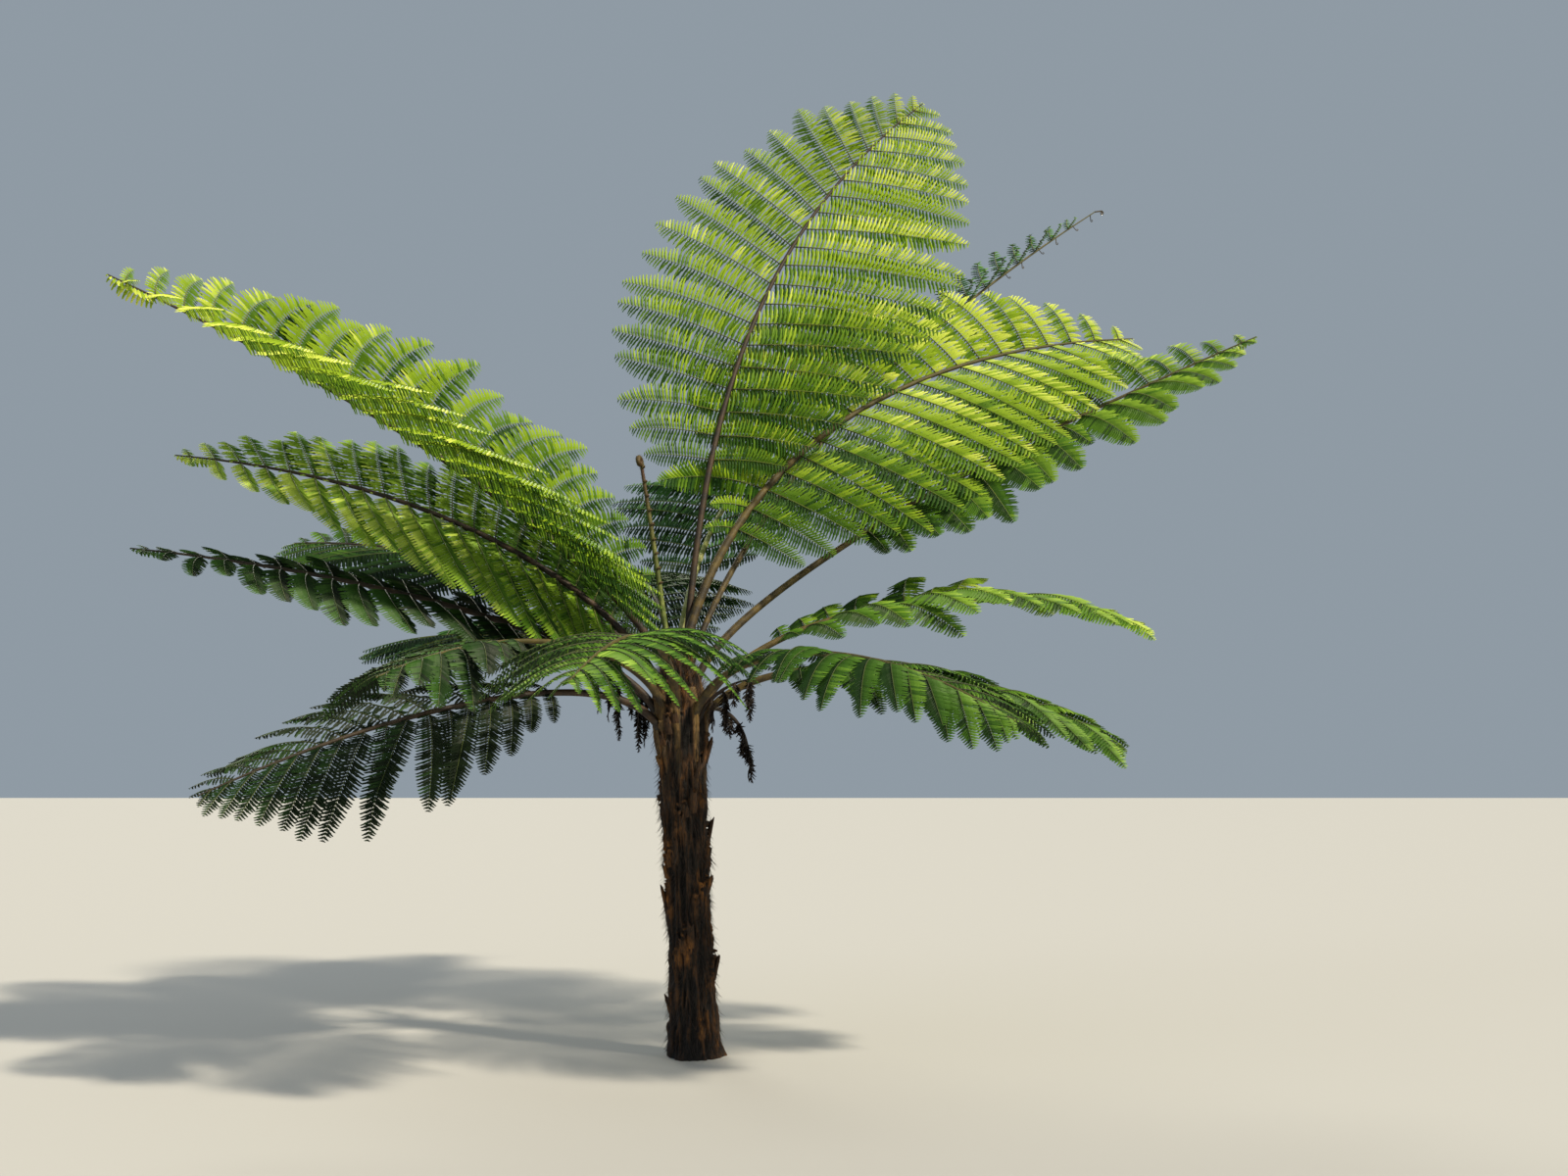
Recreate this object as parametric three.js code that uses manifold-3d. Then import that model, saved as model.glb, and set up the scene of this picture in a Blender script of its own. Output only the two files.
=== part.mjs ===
/*
 * A tree fern: one slender trunk, a crown of seventeen fronds, a new frond that is still rolled up, and
 * the black remains of dead fronds.
 *
 * Millimetres, +Z up. The origin is the middle of the flat cut under the trunk, at ground level.
 * +X is to the right and -Y is towards the viewer. Headings are turned from +X towards +Y, in degrees.
 *
 * A frond is a midrib with two rows of leaflets. One rule grows all fronds. The midrib leaves the
 * trunk nearly upright, eases from one slope to another, and swings to one side. The leaflets grow
 * longer up to the widest place and shorter to the tip, lean forward more and more, and droop. The
 * leafy part is one thin blade, cut to the midrib between the leaflets. A leaflet that would touch
 * another frond is made shorter or left out.
 */

import * as THREE from 'three';
import { mergeVertices } from 'three/addons/utils/BufferGeometryUtils.js';
import Module from 'manifold-3d';

const wasm = await Module();
wasm.setup();

const rad = THREE.MathUtils.degToRad;
const lerp = THREE.MathUtils.lerp;
const UP = new THREE.Vector3(0, 0, 1);
const STEEP = 0.995;

// Trunk: height and radius of each ring, from the ground to the crown
const TRUNK_RINGS = [
  { z: 0, r: 112 },
  { z: 60, r: 104 },
  { z: 160, r: 97 },
  { z: 400, r: 92 },
  { z: 800, r: 94 },
  { z: 1180, r: 98 },
  { z: 1330, r: 105 },
  { z: 1450, r: 113 },
  { z: 1570, r: 110 },
  { z: 1670, r: 90 },
  { z: 1740, r: 60 },
  { z: 1775, r: 26 },
];
const TRUNK_TOP = TRUNK_RINGS.at(-1).z;
const TRUNK_SIDES = 16;
const TRUNK_LEAN = -0.053;
const FLARE = { size: 26, height: 90, lobes: 3, depth: 0.8, turn: -20 };

// Old stalk bases that stay on the trunk, in a spiral
const STUBS = { count: 14, bottom: 300, top: 1250, turn: 137.5, length: 120, radius: 19, out: 16, sides: 4 };

// Midrib rule: slope at the foot, how fast the foot bends away, and the stations along the midrib
const CLASP = 80;
const KNEE = 200;
const STEP_GROWTH = 1.25;
const MIDRIB_TIP = 3;
const MIDRIB_TAPER = 0.8;
const MIDRIB_SIDES = 6;

// Leaflets along a frond: where the longest are, how long the lowest are, how full the tip is, how the
// forward lean grows, and the room that is left after the last pair, as a share of a space
const WIDEST_AT = 0.34;
const LOWEST_SHARE = 0.42;
const TIP_FULLNESS = 0.72;
const SWEEP_GROWTH = 1.4;
const LAST_SPACE = 0.6;
const LEAFY_START = 0.02;
const TIP_END = 0.004;

// Leaflet blade: its width is a share of the room along the midrib, less for short leaflets, at its root
// and towards its tip, and its thickness is a share of its length
const BLADE_FILL = 0.8;
const BLADE_ROOT = 0.55;
const BLADE_NARROWING = 0.25;
const WIDTH_GROWTH = 1.6;
const NARROWEST_SHARE = 0.45;
const BLADE_THICKNESS = 0.012;
const BLADE_THINNEST = 5;
const TIP_THINNESS = 0.5;
const LONG_BLADE = 800;
const SHORTEST_BLADE = 45;
const RIB_STEP = 0.05;

// Clearances: a stalk in its seat, and one leaflet from another frond's
const SEAT_GAP = 0.35;
const SEAT_REACH = 175;
const LEAF_GAP = 3;
const REACH_TRIES = [1, 0.85, 0.7, 0.55, 0.4];

// Values that most fronds share. steps is the number of straight pieces in a midrib. Angles are degrees:
//   rise, fall: slope past the knee and at the tip      swing: turn of the heading along the midrib
//   roll, twist: tilt of the blade at the foot, and its change by the tip
//   sweepLeft, sweepRight: how far the lowest and the last leaflet of a row lean forward
//   liftLeft, liftRight: how far each row is raised
// droop and curl are how far a leaflet's tip sinks and bends forward, as a share of its length
const COMMON = {
  steps: 18, swing: 0, bend: 0.7, stalk: 17, pairs: 18, first: 0.24, droop: 0.28, roll: 0, twist: 0,
  sweepLeft: [12, 50], sweepRight: [12, 50], liftLeft: 12, liftRight: 12, curlLeft: 0.12, curlRight: 0.12,
};

// One entry for each frond. turn, seat and z place its foot in the trunk
const FRONDS = [
  {
    name: 'frond_upright', heading: 62, swing: -40, rise: 86, fall: 41, bend: 1.1, length: 3620,
    turn: 72, seat: 54, z: 1650, stalk: 16, reach: 880, pairs: 20, first: 0.3, droop: 0.22, roll: -10,
    twist: -55, sweepLeft: [8, 45], sweepRight: [8, 45], liftLeft: 0, liftRight: 0,
  },
  {
    name: 'frond_arching', heading: 42, swing: -34, rise: 86, fall: 4, bend: 0.64, length: 3320,
    turn: 37, seat: 19, z: 1721, stalk: 20, reach: 880, pairs: 20, first: 0.22, droop: 0.22, roll: -28,
    sweepLeft: [-20, 10], sweepRight: [-4, 34], liftLeft: 38, liftRight: -2, curlLeft: -0.12,
  },
  {
    name: 'frond_high_left', heading: 196, swing: 28, rise: 54.5, fall: 14.3, bend: 0.62, length: 2940,
    turn: 202, seat: 49, z: 1642, reach: 760, pairs: 21, first: 0.16, droop: 0.15, sweepLeft: [-28, 4],
    sweepRight: [20, 20], liftLeft: 2, liftRight: 62, curlLeft: -0.2, curlRight: -0.3,
  },
  {
    name: 'frond_mid_left', heading: 184, swing: 14, rise: 64.7, fall: 1.8, bend: 0.58, length: 2500,
    turn: 180, seat: 70, z: 1560, reach: 640, pairs: 20, first: 0.18, droop: 0.2, sweepLeft: [-30, 0],
    sweepRight: [26, 40], liftLeft: -24, liftRight: 44, curlLeft: -0.2, curlRight: -0.1,
  },
  {
    name: 'frond_low_left', heading: 190, swing: 6, rise: 34, fall: 4, bend: 0.54, length: 2470,
    turn: 190, seat: 85, z: 1441, reach: 560, pairs: 19, first: 0.17, droop: 0.25, sweepLeft: [-16, 20],
    sweepRight: [14, 40], liftLeft: -6, liftRight: 24, curlLeft: -0.2, curlRight: -0.1,
  },
  {
    name: 'frond_drooping_left', heading: 212, swing: -4, rise: 16, fall: -26, bend: 0.5, length: 2120,
    turn: 212, seat: 86, z: 1380, reach: 470, pairs: 17, first: 0.3, droop: 0.4, roll: 30,
  },
  {
    name: 'frond_back_left', heading: 128, swing: 20, rise: 30, fall: -8, length: 2450,
    turn: 128, seat: 86, z: 1460, reach: 620, roll: 12, liftRight: 20,
  },
  {
    name: 'frond_left_inner', heading: 152, swing: 6, rise: 50, fall: 2, bend: 0.6, length: 2500,
    turn: 150, seat: 78, z: 1530, reach: 620, pairs: 15, roll: 22, liftRight: 24,
  },
  {
    name: 'frond_back_right', heading: 28, swing: -38, rise: 48, fall: 22, bend: 0.5, length: 3400,
    turn: 28, seat: 56, z: 1580, reach: 700, first: 0.36, sweepLeft: [-10, 14], sweepRight: [-16, 20],
    liftLeft: 52, liftRight: -12, curlLeft: -0.1,
  },
  {
    name: 'frond_pale_back', heading: 78, swing: -14, rise: 76, fall: 2, length: 2900,
    turn: 109, seat: 70, z: 1626, stalk: 16, reach: 760,
  },
  {
    name: 'frond_rear', heading: 102, swing: 6, rise: 58, fall: -6, length: 2600,
    turn: 99, seat: 86, z: 1441, reach: 660,
  },
  {
    name: 'frond_right_inner', heading: 12, swing: -10, rise: 54, fall: -16, bend: 0.6, length: 2300,
    turn: 14, seat: 86, z: 1480, reach: 620, pairs: 15, droop: 0.45, liftLeft: 34,
  },
  {
    name: 'frond_right_low', heading: -10, swing: -6, rise: 26, fall: -30, length: 2000,
    turn: -8, seat: 87, z: 1423, reach: 600, droop: 0.5, liftLeft: 24,
  },
  {
    name: 'frond_front_right', heading: -46, swing: 6, rise: 30, fall: -30, length: 1900,
    turn: -49, seat: 87, z: 1444, reach: 600, droop: 0.5,
  },
  {
    name: 'frond_front', heading: -95, swing: -8, rise: 30, fall: -26, length: 1800,
    turn: -95, seat: 86, z: 1480, reach: 580, droop: 0.5,
  },
  {
    name: 'frond_front_left', heading: -130, swing: 10, rise: 34, fall: -22, bend: 0.6, length: 1800,
    turn: -130, seat: 86, z: 1470, reach: 600, pairs: 15, droop: 0.5,
  },
  {
    name: 'frond_young', heading: 50, swing: -30, rise: 72, fall: 35, bend: 0.4, length: 3900,
    turn: 0, seat: 40, z: 1651, stalk: 13, reach: 240, pairs: 16, first: 0.45, droop: 0,
    sweepLeft: [20, 50], sweepRight: [20, 50], liftLeft: 48, liftRight: 30, curlLeft: 0.3,
    curlRight: 0.3,
  },
];

// The rolled-up new frond: a bare stalk with knobs and a club at its tip
const CROZIER = {
  name: 'crozier', heading: 196, rise: 83, fall: 80, length: 980, turn: 160, seat: 30, z: 1680, stalk: 11,
  steps: 9,
};
const KNOBS = { count: 7, first: 0.45, length: 26, radius: 6, slope: 35, sides: 4 };
const CLUB_LENGTH = 44;
const CLUB_RADIUS = 17;
const CLUB_PROFILE = [
  { at: -0.6, width: 0.35 },
  { at: 0, width: 0.9 },
  { at: 0.55, width: 1 },
  { at: 1, width: 0.4 },
];

// Dead fronds: a short dry stalk with strands that hang from it
const DEAD_FRONDS = [
  {
    name: 'dead_frond_left', heading: 172, rise: 34, fall: 8, length: 420,
    turn: 166, seat: 88, z: 1417, stalk: 10, steps: 6, strands: 6, first: 0.36, hang: 270,
    spread: 26,
  },
  {
    name: 'dead_frond_right', heading: -26, rise: 30, fall: 0, length: 360,
    turn: -28, seat: 86, z: 1440, stalk: 10, steps: 6, strands: 4, first: 0.4, hang: 200,
    spread: 24,
  },
  {
    name: 'dead_frond_hanging', heading: 34, rise: 74, fall: -88, bend: 0.5, length: 430,
    turn: 38, seat: 92, z: 1490, stalk: 11, steps: 8, strands: 7, first: 0.4, hang: 110,
    spread: 22,
  },
];
const STRAND = { radius: 6, sides: 3, root: 0.7, tip: 0.3, middle: 0.45, shorter: 0.25, back: 0.7 };
const STRAND_BEAT = 2.4;
const SWAY_BEAT = 1.9;

const COLOURS = {
  trunk: 0x3a2717,
  leaf: 0x6c8f1f,
  dead: 0x17120d,
  crozier: 0x4a2a18,
};

const material = (color, roughness) => new THREE.MeshStandardMaterial({ color, roughness, metalness: 0 });

// A direction from a heading and a slope, in degrees
function direction(heading, slope) {
  const flat = Math.cos(rad(slope));
  return new THREE.Vector3(
    flat * Math.cos(rad(heading)),
    flat * Math.sin(rad(heading)),
    Math.sin(rad(slope)),
  );
}

// The middle of the trunk at a height
const trunkAxis = (z) => new THREE.Vector3(TRUNK_LEAN * z, 0, z);

// A closed solid for cutting and joining, from a geometry whose vertices are merged
function toSolid(geometry) {
  const vertProperties = new Float32Array(geometry.attributes.position.array);
  const triVerts = new Uint32Array(geometry.index.array);
  return new wasm.Manifold(new wasm.Mesh({ numProp: 3, vertProperties, triVerts }));
}

function toGeometry(solid) {
  const { vertProperties, triVerts } = solid.getMesh();
  const geometry = new THREE.BufferGeometry();
  geometry.setAttribute('position', new THREE.BufferAttribute(vertProperties, 3));
  geometry.setIndex(new THREE.BufferAttribute(triVerts, 1));
  return geometry;
}

// Bends a cone or cylinder of radius 1 and length 1: place(w, right, up) gives the new place of a point
// that lies w of the way along, in the direction (right, up) across. The middle of a cap is (0, 0)
function bent(geometry, place, pointed = false) {
  geometry.deleteAttribute('normal');
  geometry.deleteAttribute('uv');
  const merged = mergeVertices(geometry);
  const position = merged.attributes.position;
  for (let i = 0; i < position.count; i++) {
    const w = position.getY(i) + 0.5;
    const ring = pointed ? Math.max(1 - w, 1e-6) : 1;
    const moved = place(w, position.getX(i) / ring, position.getZ(i) / ring);
    position.setXYZ(i, moved.x, moved.y, moved.z);
  }
  return toSolid(merged);
}

// A round tube along a line of points, with a radius for each point
function tube(points, radii, sides) {
  const last = points.length - 1;
  const frames = points.map((point, i) => {
    const ahead = points[Math.min(i + 1, last)].clone().sub(points[Math.max(i - 1, 0)]).normalize();
    const aside = Math.abs(ahead.z) > STEEP ? new THREE.Vector3(0, 1, 0) : UP;
    const right = ahead.clone().cross(aside).normalize();
    return { point, right, up: right.clone().cross(ahead), radius: radii[i] };
  });
  const place = (w, right, up) => {
    const frame = frames[Math.round(w * last)];
    return frame.point.clone()
      .addScaledVector(frame.right, right * frame.radius)
      .addScaledVector(frame.up, up * frame.radius);
  };
  return bent(new THREE.CylinderGeometry(1, 1, 1, sides, last), place);
}

// Stations along a midrib, from 0 at its foot to 1 at its tip, closer together near the foot, where it
// bends most, and the other way round: the station number of a place
const placeOf = (stalk, station) => (station / stalk.steps) ** STEP_GROWTH;
const stationOf = (stalk, along) => along ** (1 / STEP_GROWTH) * stalk.steps;

// The midrib's points, one for each station
function midribPoints(stalk) {
  const points = [trunkAxis(stalk.z).addScaledVector(direction(stalk.turn, 0), stalk.seat)];
  for (let i = 0; i < stalk.steps; i++) {
    const along = (placeOf(stalk, i) + placeOf(stalk, i + 1)) / 2;
    const knee = (CLASP - stalk.rise) * Math.exp(-along * stalk.length / KNEE);
    const slope = lerp(stalk.rise, stalk.fall, along ** stalk.bend) + knee;
    const heading = stalk.heading + stalk.swing * along;
    const step = (placeOf(stalk, i + 1) - placeOf(stalk, i)) * stalk.length;
    points.push(points[i].clone().addScaledVector(direction(heading, slope), step));
  }
  return points;
}

const midribRadius = (stalk, along) => stalk.stalk * (1 - along) ** MIDRIB_TAPER + MIDRIB_TIP;

// The room that a stalk's foot takes in the trunk, with a gap all round
function seatCutter(stalk) {
  const gap = SEAT_GAP / Math.cos(Math.PI / MIDRIB_SIDES);
  const outside = (point) => point.z > TRUNK_TOP || point.distanceTo(trunkAxis(point.z)) > SEAT_REACH;
  const count = stalk.points.findIndex(outside) + 1;
  const foot = stalk.points.slice(0, count);
  foot[0] = foot[0].clone().add(foot[0].clone().sub(foot[1]).setLength(SEAT_GAP));
  return tube(foot, stalk.radii.slice(0, count).map((radius) => radius + gap), MIDRIB_SIDES);
}

// How long a leaflet is at a place along the leafy part, as a share of the longest
function leafletShare(u) {
  const rise = LOWEST_SHARE + (1 - LOWEST_SHARE) * Math.sin(Math.min(1, u / WIDEST_AT) * Math.PI / 2);
  const past = Math.max(0, u - WIDEST_AT) / (1 - WIDEST_AT);
  return rise * Math.cos(past * Math.PI / 2) ** TIP_FULLNESS;
}

// The midrib at a place along it: its middle, the way ahead, and the way right and up, turned by the roll
function midribAt(frond, along) {
  const i = Math.min(Math.floor(stationOf(frond, along)), frond.steps - 1);
  const low = placeOf(frond, i);
  const high = placeOf(frond, i + 1);
  const middle = frond.points[i].clone().lerp(frond.points[i + 1], (along - low) / (high - low));
  const ahead = frond.points[i + 1].clone().sub(frond.points[i]).normalize();
  const level = ahead.clone().cross(UP).normalize();
  const above = level.clone().cross(ahead);
  const roll = rad(frond.roll + frond.twist * along);
  const right = level.clone().multiplyScalar(Math.cos(roll)).addScaledVector(above, Math.sin(roll));
  return { middle, ahead, right, face: right.clone().cross(ahead), radius: midribRadius(frond, along) };
}

// Where each leaflet grows, which way, and how long and wide it is, from the foot to the tip
function leafletsOf(frond) {
  const leaflets = [];
  const room = (1 - frond.first) * frond.length / frond.pairs;
  for (let pair = 0; pair < frond.pairs; pair++) {
    const u = pair / (frond.pairs - 1 + LAST_SPACE);
    const along = lerp(frond.first, 1, u);
    const { middle, ahead, right, face, radius } = midribAt(frond, along);
    const share = leafletShare(u);
    const width = BLADE_FILL * room * Math.min(1, Math.max(NARROWEST_SHARE, share * WIDTH_GROWTH));
    for (const side of [-1, 1]) {
      const [sweeps, lifts, curl] = side > 0
        ? [frond.sweepRight, frond.liftRight, frond.curlRight]
        : [frond.sweepLeft, frond.liftLeft, frond.curlLeft];
      const sweep = rad(lerp(...sweeps, u ** SWEEP_GROWTH));
      const lift = rad(lifts);
      const out = right.clone().multiplyScalar(side * Math.cos(sweep));
      out.addScaledVector(ahead, Math.sin(sweep));
      out.multiplyScalar(Math.cos(lift)).addScaledVector(face, Math.sin(lift));
      leaflets.push({
        along, side, out, ahead, width, radius, root: middle, length: frond.reach * share,
        droop: frond.droop, curl,
      });
    }
  }
  return leaflets;
}

// A point on a leaflet's own rib
function ribPoint(leaflet, w, length) {
  return leaflet.root.clone()
    .addScaledVector(leaflet.out, w * length)
    .addScaledVector(leaflet.ahead, leaflet.curl * w * w * length)
    .addScaledVector(UP, -leaflet.droop * w * w * length);
}

// A leaflet's section: its middle, the way across and the way up, with half its width and thickness
function bladeSection(leaflet, w, length) {
  const before = ribPoint(leaflet, w - RIB_STEP, length);
  const along = ribPoint(leaflet, w + RIB_STEP, length).sub(before).normalize();
  const across = leaflet.ahead.clone();
  across.addScaledVector(along, -across.dot(along)).normalize();
  const thickness = Math.max(BLADE_THICKNESS * leaflet.length, BLADE_THINNEST);
  return {
    middle: ribPoint(leaflet, w, length),
    across,
    face: across.clone().cross(along).multiplyScalar(-leaflet.side),
    halfWidth: (w === 0 ? BLADE_ROOT : 1 - BLADE_NARROWING * w) * leaflet.width / 2,
    halfThickness: w === 0 ? leaflet.radius : thickness / 2,
  };
}

// Where a leaflet's edges are bent, between its root and its tip
const bladeStations = (length) => (length > LONG_BLADE ? [1 / 3, 2 / 3] : [0.5]);

// A leaflet's room: a slim pyramid a little larger than the leaflet
function bladeRoom(leaflet, length) {
  const stations = [0, ...bladeStations(length), 1];
  const place = (w, right, up) => {
    const station = stations[Math.round(w * (stations.length - 1))];
    const section = bladeSection(leaflet, station, length + LEAF_GAP);
    return section.middle
      .addScaledVector(section.across, -leaflet.side * right * (section.halfWidth + LEAF_GAP) * Math.SQRT2)
      .addScaledVector(section.face, up * (section.halfThickness + LEAF_GAP) * Math.SQRT2);
  };
  return bent(new THREE.ConeGeometry(1, 1, 4, stations.length - 1, false, Math.PI / 4), place, true);
}

// Triangles between the midrib's two edges: each step goes on along the edge that lags behind
function midribFaces(left, right) {
  const faces = [];
  let i = 0;
  let j = 0;
  while (i < left.length - 1 || j < right.length - 1) {
    const rightDone = j === right.length - 1;
    const leftLags = i < left.length - 1 && (rightDone || left[i + 1].along <= right[j + 1].along);
    if (leftLags) {
      faces.push([left[i].corner, right[j].corner, left[i + 1].corner]);
      i++;
    } else {
      faces.push([left[i].corner, right[j].corner, right[j + 1].corner]);
      j++;
    }
  }
  return faces;
}

// Triangles of one leaflet, from the loop of its corners, with the root's two corners at the loop's ends
function leafletFaces(loop, side) {
  const faces = [];
  for (let near = 0, far = loop.length - 1; near < far; near++, far--) {
    faces.push([loop[near], loop[near + 1], loop[far]]);
    if (near + 1 < far - 1) faces.push([loop[near + 1], loop[far - 1], loop[far]]);
  }
  return side > 0 ? faces : faces.map((face) => face.reverse());
}

// The leafy part of a frond, as one thin closed blade: its outline is cut to the midrib between the
// leaflets, and each corner of the outline has one copy above and one below
function leafySolid(frond) {
  const corners = [];
  const faces = [];
  const addCorner = (middle, half) => corners.push({ middle, half }) - 1;
  const onMidrib = (along, side) => {
    const { middle, right, face, radius } = midribAt(frond, along);
    const corner = addCorner(middle.addScaledVector(right, side * radius), face.multiplyScalar(radius));
    return { along, corner };
  };
  const onBlade = (leaflet, station, edge) => {
    const section = bladeSection(leaflet, station, leaflet.length);
    const thickness = section.halfThickness * (edge === 0 ? TIP_THINNESS : 1);
    const middle = section.middle.addScaledVector(section.across, edge * section.halfWidth);
    return addCorner(middle, section.face.multiplyScalar(thickness));
  };
  const [left, right] = [-1, 1].map((side) => {
    const midrib = [onMidrib(frond.first - LEAFY_START, side)];
    const outline = [midrib[0].corner];
    for (const leaflet of frond.leaflets.filter((one) => one.side === side)) {
      const halfRoot = BLADE_ROOT * leaflet.width / 2 / frond.length;
      const stations = bladeStations(leaflet.length);
      const near = onMidrib(leaflet.along - halfRoot, side);
      const far = onMidrib(Math.min(leaflet.along + halfRoot, 1 - TIP_END), side);
      const loop = [
        near.corner,
        ...stations.map((station) => onBlade(leaflet, station, -1)),
        onBlade(leaflet, 1, 0),
        ...stations.reverse().map((station) => onBlade(leaflet, station, 1)),
        far.corner,
      ];
      faces.push(...leafletFaces(loop, side));
      outline.push(...loop);
      midrib.push(near, far);
    }
    midrib.push(onMidrib(1, side));
    outline.push(midrib.at(-1).corner);
    return { midrib, outline };
  });
  faces.push(...midribFaces(left.midrib, right.midrib));
  const count = corners.length;
  const index = faces.flatMap(([a, b, c]) => [a, b, c, c + count, b + count, a + count]);
  const outline = [...left.outline, ...right.outline.reverse()];
  outline.forEach((corner, i) => {
    const next = outline[(i + 1) % outline.length];
    index.push(corner, next, corner + count, corner + count, next, next + count);
  });
  const geometry = new THREE.BufferGeometry().setFromPoints([
    ...corners.map(({ middle, half }) => middle.clone().add(half)),
    ...corners.map(({ middle, half }) => middle.clone().sub(half)),
  ]);
  geometry.setIndex(index);
  return toSolid(geometry);
}

// Whether two boxes meet
function boxesMeet(a, b) {
  return [0, 1, 2].every((axis) => a.min[axis] <= b.max[axis] && b.min[axis] <= a.max[axis]);
}

const touches = (a, b) => boxesMeet(a.box, b.box) && !a.solid.intersect(b.solid).isEmpty();

const withBox = (solid) => ({ solid, box: solid.boundingBox() });

// Joins pieces into one solid and drops loose scraps
function joined(pieces) {
  const whole = pieces.reduce((sum, piece) => sum.add(piece));
  const bodies = whole.decompose();
  return bodies.reduce((best, body) => (body.volume() > best.volume() ? body : best));
}

// The trunk with its root flare and its stubs, before the seats are cut
function trunkSolid() {
  const last = TRUNK_RINGS.length - 1;
  const place = (w, right, up) => {
    const { z, r } = TRUNK_RINGS[Math.round(w * last)];
    const turn = Math.atan2(up, right) - rad(FLARE.turn);
    const lobe = 1 - FLARE.depth * (1 - Math.cos(FLARE.lobes * turn)) / 2;
    const flare = FLARE.size * Math.exp(-z / FLARE.height) * lobe;
    const radius = r + flare;
    return trunkAxis(z).add(new THREE.Vector3(right * radius, up * -radius, 0));
  };
  const body = bent(new THREE.CylinderGeometry(1, 1, 1, TRUNK_SIDES, last), place);
  const stubs = Array.from({ length: STUBS.count }, (_, i) => {
    const z = lerp(STUBS.bottom, STUBS.top, i / (STUBS.count - 1));
    const out = direction(i * STUBS.turn, 0);
    const surface = TRUNK_RINGS[TRUNK_RINGS.findIndex((ring) => ring.z > z)].r;
    const foot = trunkAxis(z).addScaledVector(out, surface - STUBS.radius);
    const middle = trunkAxis(z + STUBS.length / 2).addScaledVector(out, surface - STUBS.radius / 2);
    const tip = trunkAxis(z + STUBS.length).addScaledVector(out, surface + STUBS.out - STUBS.radius / 2);
    return tube([foot, middle, tip], [STUBS.radius / 2, STUBS.radius, STUBS.radius / 2], STUBS.sides);
  });
  return joined([body, ...stubs]);
}

// A stalk's own tube, up to a station
const stalkTube = (stalk, last = stalk.steps) =>
  tube(stalk.points.slice(0, last + 1), stalk.radii.slice(0, last + 1), MIDRIB_SIDES);

// The station nearest to a place, as a point
const pointAt = (stalk, along) => stalk.points[Math.round(stationOf(stalk, along))];

// The rolled-up new frond
function crozierSolid(stalk) {
  const pieces = [stalkTube(stalk)];
  for (let i = 0; i < KNOBS.count; i++) {
    const at = pointAt(stalk, lerp(KNOBS.first, 1, i / KNOBS.count));
    const out = direction(stalk.heading + i * STUBS.turn, KNOBS.slope);
    const tip = at.clone().addScaledVector(out, KNOBS.length);
    pieces.push(tube([at, tip], [KNOBS.radius, KNOBS.radius / 2], KNOBS.sides));
  }
  const top = stalk.points.at(-1);
  const clubPoints = CLUB_PROFILE.map(({ at }) => top.clone().addScaledVector(UP, at * CLUB_LENGTH));
  const clubRadii = CLUB_PROFILE.map(({ width }) => width * CLUB_RADIUS);
  pieces.push(tube(clubPoints, clubRadii, MIDRIB_SIDES));
  return joined(pieces);
}

// A dry stalk with hanging strands, each a little longer or shorter and further to one side than the last
function deadSolid(dead) {
  const pieces = [stalkTube(dead)];
  const across = direction(dead.heading + 90, 0);
  for (let i = 0; i < dead.strands; i++) {
    const at = pointAt(dead, lerp(dead.first, 1, i / (dead.strands - 1)));
    const length = dead.hang * (1 - STRAND.shorter * (1 - Math.sin(i * STRAND_BEAT)));
    const aside = dead.spread * Math.sin(i * SWAY_BEAT);
    const middle = at.clone().addScaledVector(across, aside).addScaledVector(UP, -length * STRAND.middle);
    const tip = at.clone().addScaledVector(across, aside * STRAND.back).addScaledVector(UP, -length);
    const radii = [STRAND.root, 1, STRAND.tip].map((share) => share * STRAND.radius);
    pieces.push(tube([at, middle, tip], radii, STRAND.sides));
  }
  return joined(pieces);
}

const group = new THREE.Group();

function addPart(name, solid, surface) {
  const mesh = new THREE.Mesh(toGeometry(solid), surface);
  mesh.name = name;
  group.add(mesh);
}

// The values of a stalk, filled up from the common ones, with its line and its thickness
function withLine(values) {
  const stalk = { ...COMMON, ...values };
  stalk.points = midribPoints(stalk);
  stalk.radii = stalk.points.map((_, i) => midribRadius(stalk, placeOf(stalk, i)));
  return stalk;
}

// Stalks first, because nothing else may touch them. The leafy part of a midrib is square, so its room
// is wider than its own tube
const fronds = FRONDS.map((values) => {
  const frond = withLine(values);
  const room = tube(frond.points, frond.radii.map((radius) => radius * Math.SQRT2), MIDRIB_SIDES);
  return { ...frond, leaflets: [], pieces: [withBox(room)] };
});
const leafless = [CROZIER, ...DEAD_FRONDS].map((values) => {
  const stalk = withLine(values);
  const solid = values === CROZIER ? crozierSolid(stalk) : deadSolid(stalk);
  return { ...stalk, solid, pieces: [withBox(solid)] };
});

// The trunk, with a seat for each stalk
const stalks = [...fronds, ...leafless];
const trunk = joined([stalks.reduce((rest, stalk) => rest.subtract(seatCutter(stalk)), trunkSolid())]);
const trunkPiece = withBox(trunk);

// Leaflets, frond by frond, each as long as its neighbours leave room for
for (const frond of fronds) {
  const others = stalks.filter((other) => other !== frond);
  const isFree = (leaflet) => {
    if (leaflet.length < SHORTEST_BLADE) return false;
    const room = withBox(bladeRoom(leaflet, leaflet.length));
    if (touches(room, trunkPiece)) return false;
    return !others.some((other) => other.pieces.some((piece) => touches(room, piece)));
  };
  for (const leaflet of leafletsOf(frond)) {
    const tries = REACH_TRIES.map((share) => ({ ...leaflet, length: leaflet.length * share }));
    const kept = tries.find(isFree);
    if (!kept) continue;
    frond.leaflets.push(kept);
    frond.pieces.push(withBox(bladeRoom(kept, kept.length)));
  }
}

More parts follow.
